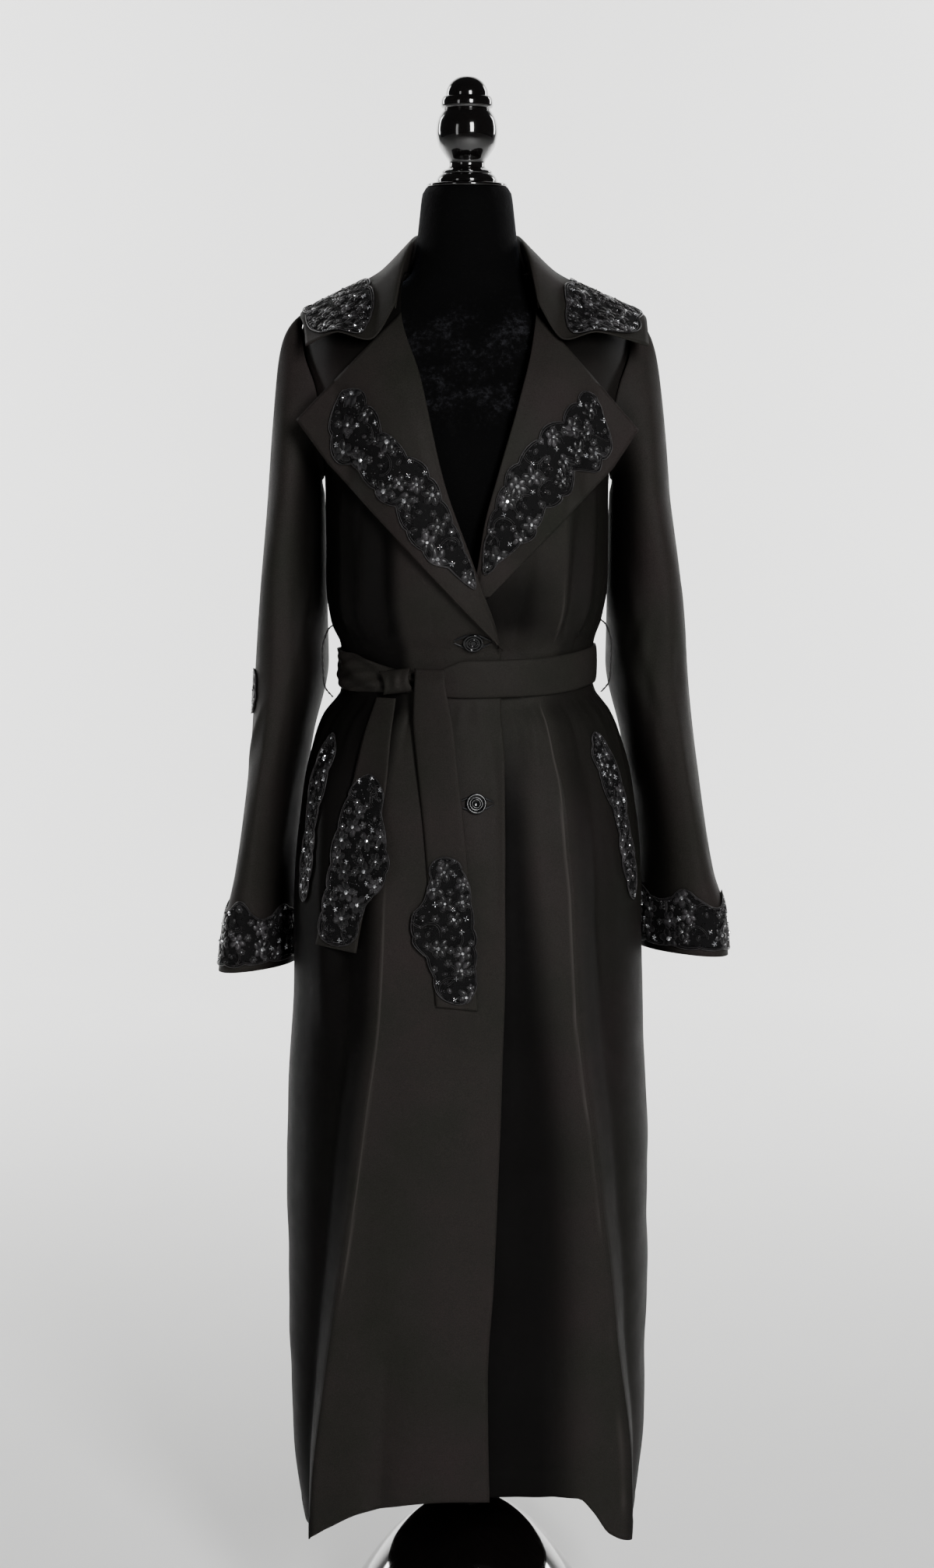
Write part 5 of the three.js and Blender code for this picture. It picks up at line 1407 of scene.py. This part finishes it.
BELL_TOP_Z = 139
BELL_FLARE = 146
bell = []
for t in np.linspace(0, 1, 12):
    drop = (BELL_TOP_Z - 24) * lerp(1, 0.2, t) ** 2
    bell.append((math.sqrt(BELL_FLARE * drop), BELL_TOP_Z - drop))
DOME_TOP_Z = bell[-1][1] + 2
FOOT = [
    [(0, 0), (150.5, 0)],
    [(150.5, 0), (153.4, 1.6), (154, 6), (152.6, 11), (149, 14)],
    [(149, 14), (142, 15), (138, 18)],
    [(138, 18), *bell[:1]],
    bell,
    [bell[-1], (bell[-1][0] - 3, DOME_TOP_Z - 0.4), (bell[-1][0] - 7, DOME_TOP_Z)],
    [(bell[-1][0] - 7, DOME_TOP_Z), (0, DOME_TOP_Z)],
]
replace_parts(lathe("bell_foot", FOOT, gloss, 96), "stand_base")
POLE = [
    [(0, 0.3), (23, 0.3)],
    [(23, 0.3), (24.2, 2.5), (24, 9), (21, 12.6), (16.4, 15.4), (14, 20)],
    [(14, 20), (14, 750 - DOME_TOP_Z)],
    [(14, 750 - DOME_TOP_Z), (18, 752 - DOME_TOP_Z), (26, 757 - DOME_TOP_Z), (30, 760 - DOME_TOP_Z)],
    [(30, 760 - DOME_TOP_Z), (30, 771.7 - DOME_TOP_Z)],
    [(30, 771.7 - DOME_TOP_Z), (0, 771.7 - DOME_TOP_Z)],
]
pole = lathe("turned_pole", [[(r, DOME_TOP_Z + z) for r, z in run] for run in POLE], gloss, 64)
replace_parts(pole, "stand_pole")


# Every sheet of cloth: its flat width and length, its flat area, how it is held and what carries it
FORM_PIECE = ["dress_form"]
BODY = ["coat_front_right", "coat_front_left", "coat_back"]
CUTS = [
    (front_right, (0.32, 1.42), 0.34, "hung", FORM_PIECE),
    (front_left, (0.33, 1.42), 0.33, "hung", FORM_PIECE),
    (back, (0.58, 1.42), 0.66, "hung", FORM_PIECE),
    (lapels["right"], (0.17, 0.38), 0.028, "folded", ["coat_front_right"]),
    (lapels["left"], (0.18, 0.32), 0.025, "folded", ["coat_front_left"]),
    (collar, (0.62, 0.17), 0.075, "folded", ["coat_back"]),
    (sleeves["right"], (0.43, 0.70), 0.19, "hung", ["coat_front_right", "coat_back"]),
    (sleeves["left"], (0.43, 0.69), 0.19, "hung", ["coat_front_left", "coat_back"]),
    (belt, (0.73, 0.041), 0.0275, "gathered", BODY),
    (knot, (0.035, 0.035), None, "gathered", ["waist_belt"]),
    (tail_front, (0.043, 0.345), 0.0142, "hung", ["waist_knot", "coat_front_right"]),
    (tail_back, (0.044, 0.262), None, "hung", ["coat_front_right"]),
]
for piece, flat, area, held, carried in CUTS:
    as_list(carried)


# The room: a pale floor that curves up into a wall, and soft lights
def room():
    profile = [(-9.0, 0.0), (3.6, 0.0)]
    turns = np.linspace(0.15, math.pi / 2, 10)
    profile += [(3.6 + 1.4 * math.sin(a), 1.4 - 1.4 * math.cos(a)) for a in turns]
    profile += [(5.0, 7.0)]
    verts = [(x, y, z) for y, z in profile for x in (-9.0, 9.0)]
    faces = [(2 * i, 2 * i + 1, 2 * i + 3, 2 * i + 2) for i in range(len(profile) - 1)]
    mesh = bpy.data.meshes.new("studio_floor")
    mesh.from_pydata(verts, [], faces)
    mesh.polygons.foreach_set("use_smooth", [True] * len(faces))
    look, tree, shader, place = material("studio_pale", Roughness=0.9)
    stops = [(0.3, (0.80, 0.80, 0.79)), (0.7, (0.83, 0.83, 0.82))]
    tone = ramp(tree, noise(tree, place.outputs["Object"], 1.2), stops)
    tree.links.new(tone, shader.inputs["Base Color"])
    mesh.materials.append(look)
    made = bpy.data.objects.new("studio_floor", mesh)
    bpy.context.collection.objects.link(made)


def softbox(name, place, target, size, power):
    light = bpy.data.lights.new(name, "AREA")
    light.shape = "RECTANGLE"
    light.size, light.size_y = size
    light.energy = power
    made = bpy.data.objects.new(name, light)
    made.location = place
    made.rotation_euler = (Vector(target) - Vector(place)).to_track_quat("-Z", "Y").to_euler()
    bpy.context.collection.objects.link(made)


room()
softbox("key_right", (1.15, -3.4, 2.2), (0, 0, 1.0), (0.7, 1.7), 150)
softbox("key_left", (-2.1, -2.8, 1.7), (0, 0, 1.0), (0.5, 2.0), 9)
softbox("wall_left", (-3.6, 2.6, 2.6), (-1.2, 5.0, 1.4), (1.4, 2.6), 400)
softbox("wall_right", (3.6, 2.6, 2.6), (1.2, 5.0, 1.4), (1.4, 2.6), 400)
world = bpy.data.worlds.new("studio")
world.use_nodes = True
world.node_tree.nodes["Background"].inputs["Color"].default_value = (0.75, 0.76, 0.78, 1)
world.node_tree.nodes["Background"].inputs["Strength"].default_value = 0.04
bpy.context.scene.world = world
